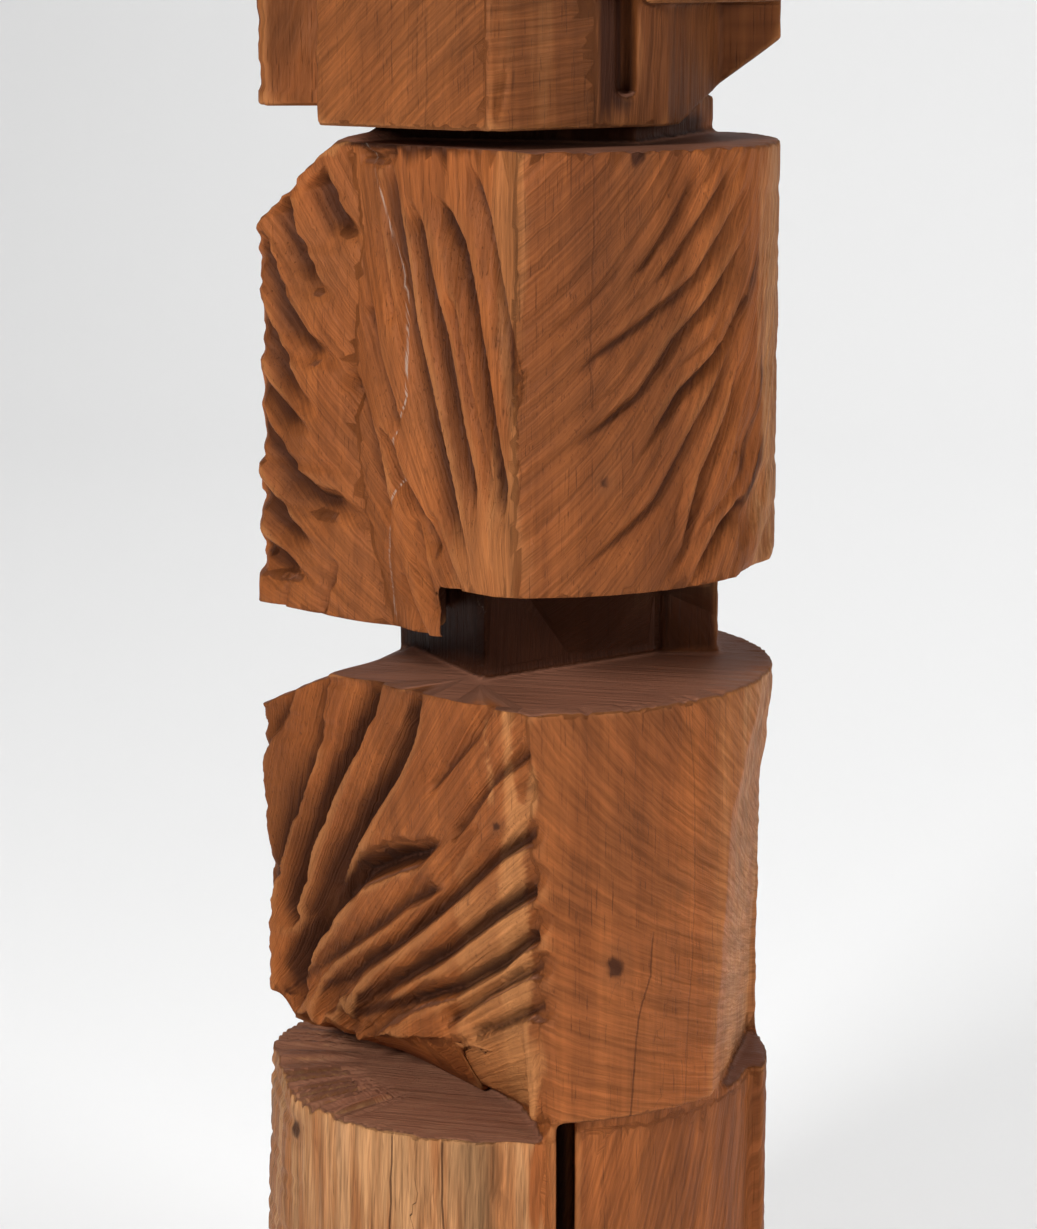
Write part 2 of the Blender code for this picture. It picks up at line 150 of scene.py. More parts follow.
class WoodColours(bpy.types.PropertyGroup):
    """Colours of the wood, and of the shade and highlight painted on it, in linear light"""

    heartwood: bpy.props.FloatVectorProperty(
        name="Heartwood", description="The red-brown wood of the log's inside",
        subtype="COLOR", size=3, default=(0.236, 0.067, 0.0165), min=0.0, max=1.0)
    warm_heartwood: bpy.props.FloatVectorProperty(
        name="Warm heartwood", description="The orange-brown streaks of the heartwood",
        subtype="COLOR", size=3, default=(0.338, 0.100, 0.0245), min=0.0, max=1.0)
    brown_heartwood: bpy.props.FloatVectorProperty(
        name="Brown heartwood", description="The duller brown clouds in the heartwood",
        subtype="COLOR", size=3, default=(0.160, 0.054, 0.0175), min=0.0, max=1.0)
    # Pale streaks of the heartwood, and the colour of the highlight painted along the ridges
    pale_wood_and_ridge_highlight: bpy.props.FloatVectorProperty(
        name="Pale heartwood", description="Lighter streaks and rubbed ridges",
        subtype="COLOR", size=3, default=(0.46, 0.185, 0.062), min=0.0, max=1.0)
    bark_skin: bpy.props.FloatVectorProperty(
        name="Bark skin", description="The grey-white skin left in an old seam",
        subtype="COLOR", size=3, default=(0.46, 0.38, 0.31), min=0.0, max=1.0)
    sapwood: bpy.props.FloatVectorProperty(
        name="Sapwood", description="The pale wood under the bark",
        subtype="COLOR", size=3, default=(0.47, 0.235, 0.100), min=0.0, max=1.0)
    streaked_sapwood: bpy.props.FloatVectorProperty(
        name="Streaked sapwood", description="Orange-brown streaks in the pale wood",
        subtype="COLOR", size=3, default=(0.33, 0.128, 0.044), min=0.0, max=1.0)
    grey_sapwood: bpy.props.FloatVectorProperty(
        name="Grey sapwood", description="Weathered grey-brown streaks in the pale wood",
        subtype="COLOR", size=3, default=(0.23, 0.125, 0.070), min=0.0, max=1.0)
    # Near-black: painted shade in the cuts, hollows, necks, kerf and slots, and the dark of
    # knot cores, pores and cracks
    painted_shade_and_dark_marks: bpy.props.FloatVectorProperty(
        name="Groove", description="The darkened bottom of a deep cut",
        subtype="COLOR", size=3, default=(0.030, 0.008, 0.003), min=0.0, max=1.0)
    dust: bpy.props.FloatVectorProperty(
        name="Dust", description="Dust that lies on the cut tops",
        subtype="COLOR", size=3, default=(0.258, 0.110, 0.066), min=0.0, max=1.0)


class StageSizes(bpy.types.PropertyGroup):
    """The studio: camera, lamps and paper sweep"""

    camera_place: bpy.props.FloatVectorProperty(
        name="Camera", description="Where the camera stands",
        subtype="TRANSLATION", size=3, default=(0.0016, -2.1696, 1.0297), unit="LENGTH")
    camera_tilt: bpy.props.FloatProperty(
        name="Tilt", description="How far the camera looks down",
        subtype="ANGLE", default=math.radians(11.1))
    lens: bpy.props.FloatProperty(
        name="Lens", description="Focal length on a sensor 36 mm high",
        default=98.13, min=10.0, max=400.0)
    paper: bpy.props.FloatVectorProperty(
        name="Paper", description="Colour of the paper sweep",
        subtype="COLOR", size=3, default=(0.80, 0.80, 0.80), min=0.0, max=1.0)


# Vertices as arrays


def read_points(mesh):
    """The mesh's vertices as an array of rows."""
    points = np.empty(len(mesh.vertices) * 3)
    mesh.vertices.foreach_get("co", points)
    return points.reshape(-1, 3)


def read_edges(mesh):
    """The mesh's edges as pairs of vertex numbers."""
    edges = np.empty(len(mesh.edges) * 2, dtype=np.int64)
    mesh.edges.foreach_get("vertices", edges)
    return edges.reshape(-1, 2)


def write_points(mesh, points):
    """Put moved vertices back in the mesh."""
    mesh.vertices.foreach_set("co", points.ravel())
    mesh.update()


def neighbour_mean(values, edges):
    """For each vertex, the mean of what its neighbours hold."""
    total = np.zeros_like(values)
    ends = (edges, edges[:, ::-1])
    for column in range(values.shape[1]):
        for here, there in ((pair[:, 0], pair[:, 1]) for pair in ends):
            total[:, column] += np.bincount(
                here, weights=values[there, column], minlength=len(values))
    count = np.bincount(edges.ravel(), minlength=len(values))
    return total / np.maximum(count, 1)[:, None]


def eased(values, edges, rounds, share=0.5):
    """Values moved a share of the way to their neighbours' mean, some rounds long."""
    for _ in range(rounds):
        values = values + share * (neighbour_mean(values, edges) - values)
    return values


def step_up(value, low, high):
    """A smooth step from 0 at low to 1 at high."""
    share = np.clip((value - low) / (high - low), 0.0, 1.0)
    return share * share * (3.0 - 2.0 * share)


def between(value, low, high, soft):
    """One inside low to high, fading to nothing over a soft edge outside it."""
    return step_up(value, low - soft, low) * (1.0 - step_up(value, high, high + soft))


def ripple(places, lengths, dice, waves=14):
    """Smooth noise about one high, with a wavelength for each axis of the places."""
    total = np.zeros(len(places))
    for _ in range(waves):
        course = dice.normal(size=places.shape[1])
        course /= np.linalg.norm(course)
        wave = places @ (course * 2.0 * math.pi / np.array(lengths))
        total += np.sin(wave * dice.uniform(0.7, 1.4) + dice.uniform(0, 2 * math.pi))
    return total / math.sqrt(waves)


def arc_of(points):
    """How far round the log each point lies, rightward from the front."""
    return np.arctan2(points[:, 0], -points[:, 1]) * LOG_RADIUS


def from_axis(points):
    """How far each point lies from the log's axis."""
    return np.hypot(points[:, 0], points[:, 1])


def to_axis(points):
    """The way to the log's axis at each point."""
    flat = points * np.array((-1.0, -1.0, 0.0))
    return flat / np.maximum(np.linalg.norm(flat, axis=1), 1e-6)[:, None]


# Faces of the log


class FlatFace:
    """A flat left face: places run leftward from the front ridge, and up."""

    def __init__(self, heading, reach, strip, ridge, foot, low, high):
        self.out = np.array((math.cos(heading), math.sin(heading), 0.0))
        self.along = np.array((self.out[1], -self.out[0], 0.0))
        self.reach = reach
        self.strip = strip
        self.ridge = ridge
        self.foot = foot
        self.low = low
        self.high = high

    def places(self, points):
        """Leftward distance and height of each point."""
        return np.column_stack(((points - FRONT) @ self.along, points[:, 2]))

    def on_the_way(self, ends, height):
        """A value that runs evenly from one end at the foot to the other at the top."""
        share = (height - self.foot) / (self.high - self.foot)
        return ends[0] + (ends[1] - ends[0]) * share

    def reach_at(self, height):
        """The face's distance from the log's axis at a height."""
        return self.on_the_way(self.reach, height)

    def depth(self, points):
        """How far each point lies behind the face."""
        return self.reach_at(points[:, 2]) - points @ self.out

    def plain_depth(self, places):
        """Depth of the uncarved block: the flat, the log's round and the ridge strip."""
        across = places[:, 0] - LOG_RADIUS * math.sqrt(0.5)
        reach = self.reach_at(places[:, 1])
        bark = reach - np.sqrt(np.maximum(LOG_RADIUS ** 2 - across ** 2, 0.0))
        facet = np.array((math.cos(STRIP_HEADING), math.sin(STRIP_HEADING)))
        strip = self.on_the_way(self.strip, places[:, 1])
        on_flat = reach * (self.out[:2] @ facet) + across * (self.along[:2] @ facet)
        cut = (on_flat - strip) / (self.out[:2] @ facet)
        return np.maximum(np.maximum(bark, cut), 0.0)

    def spot(self, place, depth):
        """The point at a place and a depth, for a ray that looks at the face."""
        flat = FRONT + self.along * place[0]
        flat = flat + self.out * (self.reach_at(place[1]) - depth - flat @ self.out)
        return np.array((flat[0], flat[1], place[1]))

    def inward(self, points):
        """The way in at each point."""
        return np.tile(-self.out, (len(points), 1))

    def own_side(self, points):
        """One left of the front ridge's crest, nothing past it."""
        border = self.on_the_way(self.ridge, points[:, 2])
        return 1.0 - step_up(arc_of(points) - border, -0.0015, 0.0015)


class RoundFace:
    """The log's own round: places run rightward round the log from the ridge, and up."""

    def __init__(self, low, high):
        self.low = low
        self.high = high

    def places(self, points):
        """Arc from the ridge and height of each point."""
        return np.column_stack((arc_of(points), points[:, 2]))

    def depth(self, points):
        """How far each point lies under the bark line."""
        return LOG_RADIUS - from_axis(points)

    def plain_depth(self, places):
        """Depth of the uncarved round."""
        return np.zeros(len(places))

    def spot(self, place, depth):
        """The point at a place and a depth, for a ray that looks at the face."""
        turn = place[0] / LOG_RADIUS
        radius = LOG_RADIUS - depth
        return np.array((radius * math.sin(turn), -radius * math.cos(turn), place[1]))

    def inward(self, points):
        """The way to the axis at each point."""
        return to_axis(points)

    def own_side(self, points):
        """One everywhere."""
        return np.ones(len(points))


class DepthMap:
    """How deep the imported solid's skin lies behind a face, on a fine grid."""

    def __init__(self, face, tree, width, step=0.002, most=0.045):
        self.face = face
        self.start = np.array((width[0], face.low))
        self.step = step
        self.shape = (int((width[1] - width[0]) / step) + 1,
                      int((face.high - face.low) / step) + 1)
        self.depths = np.full(self.shape, np.nan)
        for column in range(self.shape[0]):
            for row in range(self.shape[1]):
                self.depths[column, row] = self.look(tree, column, row, most)
        self.fill()

    def look(self, tree, column, row, most):
        """The depth that a ray meets at one place of the grid, or nothing."""
        place = self.start + self.step * np.array((column, row))
        outside = self.face.spot(place, -STAND_OFF)
        inside = self.face.spot(place, most)
        course = Vector(inside - outside)
        hit = tree.ray_cast(Vector(outside), course.normalized(), course.length)
        return np.nan if hit[0] is None else hit[3] - STAND_OFF

    def fill(self):
        """Give places that met nothing their neighbours' depth."""
        for _ in range(60):
            empty = np.isnan(self.depths)
            if not empty.any():
                break
            around = [np.roll(self.depths, shift, axis)
                      for shift in (1, -1) for axis in (0, 1)]
            known = [np.where(np.isnan(side), 0.0, side) for side in around]
            count = sum((~np.isnan(side)).astype(float) for side in around)
            mean = sum(known) / np.maximum(count, 1.0)
            self.depths = np.where(empty & (count > 0), mean, self.depths)
        self.depths = np.nan_to_num(self.depths)

    def at(self, places):
        """The depth at each place, between the grid's own places."""
        spot = (places - self.start) / self.step
        spot = np.clip(spot, 0.0, np.array(self.shape) - 1.001)
        low = spot.astype(int)
        share = spot - low
        total = np.zeros(len(places))
        for across in (0, 1):
            for up in (0, 1):
                weight = (np.abs(1 - across - share[:, 0])
                          * np.abs(1 - up - share[:, 1]))
                total += weight * self.depths[low[:, 0] + across, low[:, 1] + up]
        return total


class Cut:
    """One gouge cut: the line that its sharp edge follows, its size and its ends."""

    def __init__(self, line, depth, wide, steep=None, enter=0.15, leave=0.35, edge=True):
        self.line = np.array(line, dtype=float) * MM
        self.depth = depth * MM
        self.wide = wide * MM
        self.steep = (0.7 * depth if steep is None else steep) * MM
        self.enter = enter
        self.leave = leave
        self.shift = self.steep if edge else 0.0

    def measure(self, places):
        """Distance from the line, positive left of it, and share of the way along it."""
        best = np.full(len(places), np.inf)
        side = np.zeros(len(places))
        where = np.zeros(len(places))
        lengths = np.linalg.norm(np.diff(self.line, axis=0), axis=1)
        starts = np.concatenate(((0.0,), np.cumsum(lengths)))
        for index, length in enumerate(lengths):
            start = self.line[index]
            course = (self.line[index + 1] - start) / length
            offset = places - start
            reach = np.clip(offset @ course, 0.0, length)
            gap = np.linalg.norm(offset - reach[:, None] * course, axis=1)
            turn = course[0] * offset[:, 1] - course[1] * offset[:, 0]
            nearer = gap < best
            best = np.where(nearer, gap, best)
            side = np.where(nearer, np.sign(turn), side)
            where = np.where(nearer, (starts[index] + reach) / starts[-1], where)
        return best * side, where

    def depths(self, places):
        """How deep the cut is at each place."""
        gap, where = self.measure(places)
        taper = np.ones(len(places))
        if self.enter:
            taper *= step_up(where, -0.02, self.enter)
        if self.leave:
            taper *= 1.0 - step_up(where, 1.0 - self.leave, 1.02)
        spread = 0.3 + 0.7 * taper
        gap = gap - self.shift * spread
        reach = np.where(gap < 0.0, self.steep, self.wide) * spread
        share = np.clip(1.0 - np.abs(gap) / reach, 0.0, 1.0)
        wall = np.where(gap < 0.0, share ** 0.8, share ** 1.7)
        return self.depth * taper * wall


def deepest(cuts, places):
    """The deepest of several cuts at each place, so that sharp arrises stand between."""
    total = np.zeros(len(places))
    for cut in cuts:
        total = np.maximum(total, cut.depths(places))
    return total


def hold_on(points, face, skin, sink):
    """How fully each point follows a face: fully at its skin, not at all far below."""
    below = face.depth(points) - skin
    height = between(points[:, 2], face.low - 0.002, face.high + 0.002, 0.002)
    return between(below, -0.03, 0.003, sink) * height


def recut(points, face, tree, depths, look, width, sink=0.045):
    """Move the skin of a face to new depths, with the wood below it following."""
    places = face.places(points)
    skin = DepthMap(face, tree, look).at(places)
    hold = hold_on(points, face, skin, sink)
    hold *= between(places[:, 0], width[0], width[1], 0.008) * face.own_side(points)
    below = face.depth(points) - skin
    on_skin = 1.0 - step_up(below, 0.013, 0.024)
    shift = face.plain_depth(places) + depths - skin - on_skin * below
    return points + face.inward(points) * (shift * hold)[:, None]


def press(points, face, amount, sink=0.05):
    """Move the skin near a face inward by an amount, less and less below the face."""
    hold = hold_on(points, face, np.zeros(len(points)), sink)
    return points + face.inward(points) * (amount * hold)[:, None]


# The gouge cuts

# Lines are in millimetres: left or right of the front ridge, then above the floor
ROPE_LINES = (
    ((179, 901), (173, 888), (164, 875), (142, 854)),
    ((213, 884), (204, 860), (183, 831), (165, 815)),
    ((240, 860), (230, 844), (207, 811), (188, 792), (175, 788), (158, 768)),
    ((243, 822), (234, 803), (218, 781), (196, 757), (170, 742)),
    ((246, 776), (231, 760), (210, 747), (179, 730)),
    ((246, 757), (229, 734), (199, 707), (178, 697), (162, 696), (140, 684), (116, 665)),
    ((246, 704), (224, 688), (200, 671), (170, 656)),
    ((248, 667), (230, 658), (199, 646), (184, 634)),
)
FAN_CUTS = (
    (((49, 907), (33, 876), (23, 842), (12, 807), (7, 783), (6, 745)), 8, 9),
    (((79, 887), (57, 856), (44, 820), (31, 772), (17, 718), (12, 679)), 12, 12),
    (((63, 828), (48, 778), (33, 739), (18, 697)), 6, 8),
    (((99, 882), (85, 837), (70, 798), (55, 748), (40, 709), (34, 680)), 11, 13),
    (((122, 912), (111, 858), (97, 806), (78, 755), (56, 695), (36, 655)), 10, 14),
    (((123, 740), (103, 709), (77, 681), (60, 660)), 8, 10),
    (((73, 691), (55, 660), (42, 642)), 5, 8),
    (((90, 690), (79, 660), (62, 622)), 6, 9),
    (((100, 650), (88, 631), (70, 608)), 5, 9),
    (((142, 818), (131, 793), (112, 755), (104, 735)), 7, 11),
    (((158, 772), (139, 744), (120, 701), (112, 675)), 8, 13),
    (((134, 868), (124, 845), (111, 802)), 5, 8),
    (((160, 650), (167, 633), (172, 612)), 5, 7),
    (((205, 632), (212, 606)), 4, 7),
)
BROAD_VALLEY = ((163, 925), (149, 862), (152, 800), (150, 740), (138, 680), (106, 610))
SEAM = ((149, 925), (129, 885), (115, 851), (106, 821), (97, 763), (109, 733), (104, 709),
        (113, 685), (115, 656), (108, 620))
BARK_POCKET = ((152, 909), (129, 907), (110, 912))

LONG_CUTS = (
    (((200, 572), (213, 546), (230, 528), (243, 509), (252, 490)), 9, 12),
    (((173, 580), (179, 552), (191, 514), (204, 492), (222, 464), (246, 413)), 13, 24),
    (((118, 584), (131, 553), (146, 533), (177, 489), (202, 448), (222, 405)), 19, 20),
    (((82, 580), (95, 541), (110, 517), (141, 481), (168, 446), (198, 400)), 20, 22),
    (((66, 450), (111, 426), (132, 410), (182, 377), (235, 340)), 12, 16),
)
HOLLOW_LINE = ((58, 494), (76, 474), (97, 458), (117, 450), (153, 433), (180, 409),
               (200, 386), (222, 358))
RIDGE_CUTS = (
    (((14, 584), (35, 553), (56, 533), (85, 505)), 7, 16),
    (((-4, 545), (24, 524), (45, 499), (64, 479)), 8, 11),
    (((43, 490), (65, 461), (89, 440), (110, 426)), 5, 8),
    (((-8, 494), (24, 473), (52, 449), (83, 425), (120, 397), (175, 360),
      (212, 338)), 11, 12),
    (((-26, 472), (7, 448), (32, 431), (79, 396), (121, 370), (175, 340),
      (202, 330)), 12, 13),
    (((-26, 440), (4, 420), (25, 402), (68, 375), (121, 354), (165, 336),
      (192, 327)), 12, 13),
    (((-26, 421), (1, 403), (41, 379), (82, 349)), 9, 10),
    (((-26, 393), (4, 375), (29, 361), (60, 346)), 9, 12),
)

SWEEP_CUTS = (
    (((122, 910), (108, 887), (82, 853), (58, 828)), 3.5, 12),
    (((160, 915), (139, 891), (108, 860), (72, 822)), 3.5, 12),
    (((184, 908), (157, 880), (120, 842), (99, 828), (49, 798), (2, 755)), 3.5, 14),
    (((178, 880), (163, 855), (131, 826), (103, 803), (76, 771), (25, 735), (-3, 722)), 4, 14),
    (((190, 872), (182, 845), (149, 798), (107, 770), (80, 736), (62, 712)), 4.5, 13),
    (((170, 815), (146, 779), (114, 742), (90, 706), (51, 675), (10, 640)), 3.5, 14),
    (((172, 795), (150, 752), (125, 716), (111, 672), (84, 640)), 4.5, 12),
    (((205, 745), (183, 709), (142, 680), (108, 640)), 5, 12),
    (((195, 800), (188, 760), (172, 722), (150, 690)), 4, 10),
    (((76, 862), (46, 832), (4, 798)), 2, 12),
)
BOARD_NICK = ((-5, 966), (-11, 934))
SCORE_LINE = ((10, 458), (39, 433), (62, 411), (93, 398))
CRACK_LINES = (
    (((47, 918), (48, 870), (46, 800), (48, 760)), 0.35),
    (((-63, 1000), (-62, 960), (-64, 926)), 0.35),
    (((-82, 300), (-84, 230), (-80, 120)), 0.9),
    (((-47, 300), (-48, 240), (-46, 170), (-49, 90)), 0.9),
    (((91, 430), (89, 400), (80, 373), (77, 334), (75, 308)), 0.6),
    (((119, 570), (124, 510), (125, 444), (123, 405), (120, 359), (117, 307)), 0.3),
    (((45, 560), (46, 500), (43, 440), (44, 410)), 0.12),
)


def upper_left_face():
    """The upper block's flat left face."""
    return FlatFace(LEFT_HEADING, UPPER_LEFT, UPPER_STRIP, UPPER_RIDGE, UPPER_SKIRT,
                    UPPER_SKIRT, UPPER_TOP)


def lower_left_face():
    """The lower block's flat left face."""
    return FlatFace(LEFT_HEADING, LOWER_LEFT, LOWER_STRIP, LOWER_RIDGE, LOWER_EAVE,
                    LOWER_FOOT, LOWER_TOP)


# Lower edge of the lower left face, in millimetres left of the ridge and above the floor
LIP_LINE = ((-15, 384), (11, 373), (30, 360), (57, 352), (81, 345), (124, 336), (182, 326),
            (198, 331), (224, 326), (240, 327), (262, 341))

# Upright hollows on the top block's left piece: arc and depth in millimetres
SIDE_FACETS = ((-172, 4), (-184, 7), (-198, 5), (-214, 7), (-232, 5), (-250, 6), (-268, 4))

# Knots: arc and height in millimetres, and radius
KNOTS = (
    (55, 718, 4.5), (-12, 802, 2.5), (76, 912, 6.0), (80, 874, 2.5), (64, 410, 7.5),
    (-14, 500, 4.0), (-173, 279, 6.5), (-146, 276, 3.0), (112, 452, 3.0),
)


def beside(line, left, up):
    """A line moved left and up by some millimetres."""
    return [(place + left, height + up) for place, height in line]


def sweep_cuts():
    """The shallow cuts that sweep over the upper block's round face."""
    sweeps = [Cut(line, 2.2 * depth, 1.1 * wide, 4, 0.2, 0.35)
              for line, depth, wide in SWEEP_CUTS]
    sweeps += [Cut(beside(line, -11, 8), 0.9 * depth, 0.55 * wide, 2.5, 0.1, 0.3)
               for line, depth, wide in SWEEP_CUTS]
    return sweeps


def left_cuts():
    """The cuts of the two flat left faces, upper and lower."""
    upper = [Cut(line, 15, 25, 9, enter=0.14, leave=0.50) for line in ROPE_LINES]
    upper += [Cut(line, 1.4 * depth, 1.1 * wide, 0.8 * depth, 0.10, 0.18, edge=False)
              for line, depth, wide in FAN_CUTS]
    upper += [Cut(beside(line, 7, 0), 0.6 * depth, 0.45 * wide, 0.5 * depth, 0.2, 0.3,
                  edge=False) for line, depth, wide in FAN_CUTS]
    lower = [Cut(line, depth, wide, 0.36 * depth, enter=0.15, leave=0.0)
             for line, depth, wide in LONG_CUTS]
    lower.append(Cut(HOLLOW_LINE, 25, 21, 9, enter=0.4, leave=0.0))
    lower += [Cut(line, 1.3 * depth, 1.1 * wide, 0.5 * depth, enter=0.0, leave=0.1)
              for line, depth, wide in RIDGE_CUTS]
    return upper, lower


def fan_flow(places):
    """Number of the line that each place of the upper left face lies on, and its way."""
    left, height = places[:, 0], places[:, 1]
    drop = np.clip((0.912 - height) / 0.257, 0.0, 1.1)
    fan = left / (1.0 - 0.7 * drop ** 1.3)
    out = left - 0.18
    rope = (height + 1.78 * out) / (1.0 + 3.6 * out)
    valley = np.array(BROAD_VALLEY[::-1]) * MM
    on_ropes = left > np.interp(height, valley[:, 1], valley[:, 0])
    return np.where(on_ropes, rope, fan), np.where(on_ropes, left, height)


def long_flow(places):
    """The same for the lower left face, whose lines fan out from the ridge."""
    left, height = places[:, 0], places[:, 1]
    return (height - 0.552 * left) / (1.0 - 2.9 * left), left


def sweep_flow(places):
    """The same for the upper round face, whose lines rise ever steeper to the right."""
    right, height = places[:, 0], places[:, 1]
    return height - 0.75 * right - 3.4 * right ** 2, height


def line_offset(lines, places):
    """Signed distance from the nearest of some thin lines, and how strong it is there."""
    best = np.full(len(places), np.inf)
    offset = np.zeros(len(places))
    strength = np.zeros(len(places))
    for line, full in lines:
        gap, where = Cut(line, 1, 1).measure(places)
        ends = step_up(where, 0.0, 0.02) * (1.0 - step_up(where, 0.98, 1.0))
        nearer = np.abs(gap) < best
        best = np.where(nearer, np.abs(gap), best)
        offset = np.where(nearer, gap, offset)
        strength = np.where(nearer, full * ends, strength)
    return offset, strength


def off_the_back(arc):
    """0 on the line down the log's back, where the arc's sign turns, and 1 well off it."""
    return step_up(math.pi * LOG_RADIUS - np.abs(arc), 0.0, 0.12)


def block_shares(height):
    """How fully each height lies in the base, the lower, the upper and the top block."""
    return (1.0 - step_up(height, BASE_TOP, BASE_TOP + BLOCK_SOFT),
            between(height, LOWER_FOOT, LOWER_TOP, BLOCK_SOFT),
            between(height, UPPER_SKIRT, UPPER_TOP, BLOCK_SOFT),
            step_up(height, TOP_FOOT - BLOCK_SOFT, TOP_FOOT))


def wood_zones(points, dice):
    """Where the wood is pale: the bark's side, and the light stripe on the ridge."""
    arc, height = arc_of(points), points[:, 2]
    arc = arc + 0.006 * ripple(np.column_stack((arc, height)), (0.02, 0.12), dice)
    base, lower, upper, top = block_shares(height)
    middle = 0.014 - 0.012 * (height - LOWER_FOOT) / (LOWER_TOP - LOWER_FOOT)
    stripe = np.maximum.reduce((
        0.5 * upper * between(arc, -0.012, 0.002, 0.005),
        0.42 * upper * between(arc, -0.045, 0.0, 0.012)
        * (1.0 - step_up(height, 0.68, 0.76)),
        0.8 * lower * between(arc, middle - 0.016, middle, 0.004),
        0.6 * lower * between(arc, -0.05, 0.0, 0.012) * (1.0 - step_up(height, 0.43, 0.5)),
        0.45 * lower * step_up(arc, 0.118, 0.150),
        0.3 * top,
    ))
    bark = np.maximum.reduce((
        0.55 * upper * step_up(arc, 0.183, 0.198),
        0.5 * lower * step_up(arc, 0.150, 0.19),
        0.75 * base * (1.0 - step_up(arc, 0.012, 0.020)),
    ))
    return stripe * off_the_back(arc), bark * off_the_back(arc)


def wood_tone(points, dice):
    """How light the wood is from part to part: 1 is as the colours have it."""
    arc, height = arc_of(points), points[:, 2]
    base, lower, upper, top = block_shares(height)
    tone = 1.0 + 0.05 * ripple(points, (0.07, 0.07, 0.25), dice)
    for change in (
        -0.26 * upper * between(arc, 0.004, 0.10, 0.02),
        0.15 * upper * step_up(arc, 0.10, 0.14),
        0.10 * upper * (1.0 - step_up(arc, -0.03, -0.01)),
        0.20 * lower * step_up(arc, 0.0, 0.03) * (1.0 - step_up(height, 0.38, 0.48)),
        0.06 * lower - 0.20 * lower * between(arc, 0.01, 0.09, 0.03),
        -0.21 * top - 0.26 * top * step_up(arc, -0.02, 0.0),
        -0.45 * base * between(arc, -0.034, -0.013, 0.003),
    ):
        tone *= 1.0 + change
    return 1.0 + (tone - 1.0) * off_the_back(arc)


def mark_slopes(arc, height):
    """Slope of the blade's marks, rising to the right, where no gouge cut leads them."""
    slope = np.full(len(arc), math.radians(86))
    lower = (height > LOWER_FOOT) & (height < LOWER_TOP)
    drop = 14 + 22 * (height - LOWER_FOOT) / (LOWER_TOP - LOWER_FOOT)
    slope = np.where(lower, np.radians(-drop), slope)
    top = height > TOP_FOOT - 0.003
    slope = np.where(top & (arc > -0.163) & (arc < -0.018), math.radians(38), slope)
    slope = np.where(top & (arc > -0.018) & (arc < 0.060), math.radians(5), slope)
    panel = (height < BASE_TOP) & (arc > 0.020)
    return np.where(panel, math.radians(72), slope)


def marks(points, normals, dice):
    """What the wood needs to know at each point, by name."""
    total = len(points)
    upper, lower = left_cuts()
    arc_places = RoundFace(0.0, LOG_HEIGHT).places(points)
    arc, height = arc_places[:, 0], arc_places[:, 1]
    slope = mark_slopes(arc, height)
    across = height * np.cos(slope) - arc * np.sin(slope)
    along = height * np.sin(slope) + arc * np.cos(slope)
    cut = np.zeros(total)
    seam = np.full(total, 0.05)
    seam_strength = np.zeros(total)
    for face, cuts in ((upper_left_face(), upper), (lower_left_face(), lower)):
        places = face.places(points)
        inside = ((height > face.low - 0.002) & (height < face.high + 0.002)
                  & (points @ face.out > 0.06) & (places[:, 0] > -0.004))
        here = places[inside]
        flow = fan_flow if face.high == UPPER_TOP else long_flow
        across[inside], along[inside] = flow(here)
        cut[inside] = deepest(cuts, here) / LEFT_DARKEST
        if face.high == UPPER_TOP:
            seam[inside], seam_strength[inside] = line_offset(((SEAM, 0.7),), here)
    face = RoundFace(UPPER_SKIRT, UPPER_TOP)
    inside = (height > face.low) & (height < face.high + 0.002) & (arc > 0.0)
    here = face.places(points[inside])
    across[inside], along[inside] = sweep_flow(here)
    cut[inside] = deepest(sweep_cuts(), here) / ROUND_DARKEST
    level = np.abs(normals[:, 2]) > 0.7
    at_top = np.minimum(np.abs(height - LOWER_TOP), np.abs(height - UPPER_TOP)) < 0.008
    cut[level & at_top] = 0.0
    across[level] = points[level] @ np.array((0.25, 0.97, 0.0))
    along[level] = points[level] @ np.array((0.97, -0.25, 0.0))
    crack, crack_strength = line_offset(CRACK_LINES, arc_places)
    stripe, bark = wood_zones(points, dice)
    knot = np.full(total, 9.0)
    for place, height_mm, radius in KNOTS:
        away = np.hypot(arc - place * MM, (height - height_mm * MM) * 0.8)
        knot = np.minimum(knot, away / (radius * MM))
    return {"across": across, "along": along, "cut": cut, "seam": seam,
            "seam_strength": seam_strength, "crack": crack,
            "crack_strength": crack_strength, "stripe": stripe, "bark": bark,
            "knot": knot, "tone": wood_tone(points, dice)}


def recarve(points, tree):
    """Cut the four front faces afresh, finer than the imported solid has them."""
    upper, lower = left_cuts()
    face = upper_left_face()
    places = face.places(points)
    valley = Cut(BROAD_VALLEY, 8, 34, 30, 0.0, 0.0, edge=False)
    depths = deepest(upper, places) + valley.depths(places)
    depths += Cut(SEAM, 2.5, 3, 3, 0.1, 0.1, edge=False).depths(places)
    depths += Cut(BARK_POCKET, 9, 7, 5, 0.1, 0.1, edge=False).depths(places)
    points = recut(points, face, tree, depths, LEFT_LOOK, LEFT_WORK)

    face = lower_left_face()
    depths = deepest(lower, face.places(points))
    points = recut(points, face, tree, depths, LEFT_LOOK, LEFT_WORK)

    face = RoundFace(UPPER_SKIRT, UPPER_TOP)
    depths = deepest(sweep_cuts(), face.places(points))
    points = recut(points, face, tree, depths, RIGHT_LOOK, RIGHT_WORK)

    score = Cut(SCORE_LINE, 1.5, 3, 2, 0.1, 0.1, edge=False)
    nick = Cut(BOARD_NICK, 5, 4, 4, 0.2, 0.2, edge=False)
    for low, high, cut in ((LOWER_FOOT, LOWER_TOP, score), (TOP_FOOT, LOG_HEIGHT, nick)):
        face = RoundFace(low, high)
        points = press(points, face, cut.depths(face.places(points)))
    return points


# The carved log


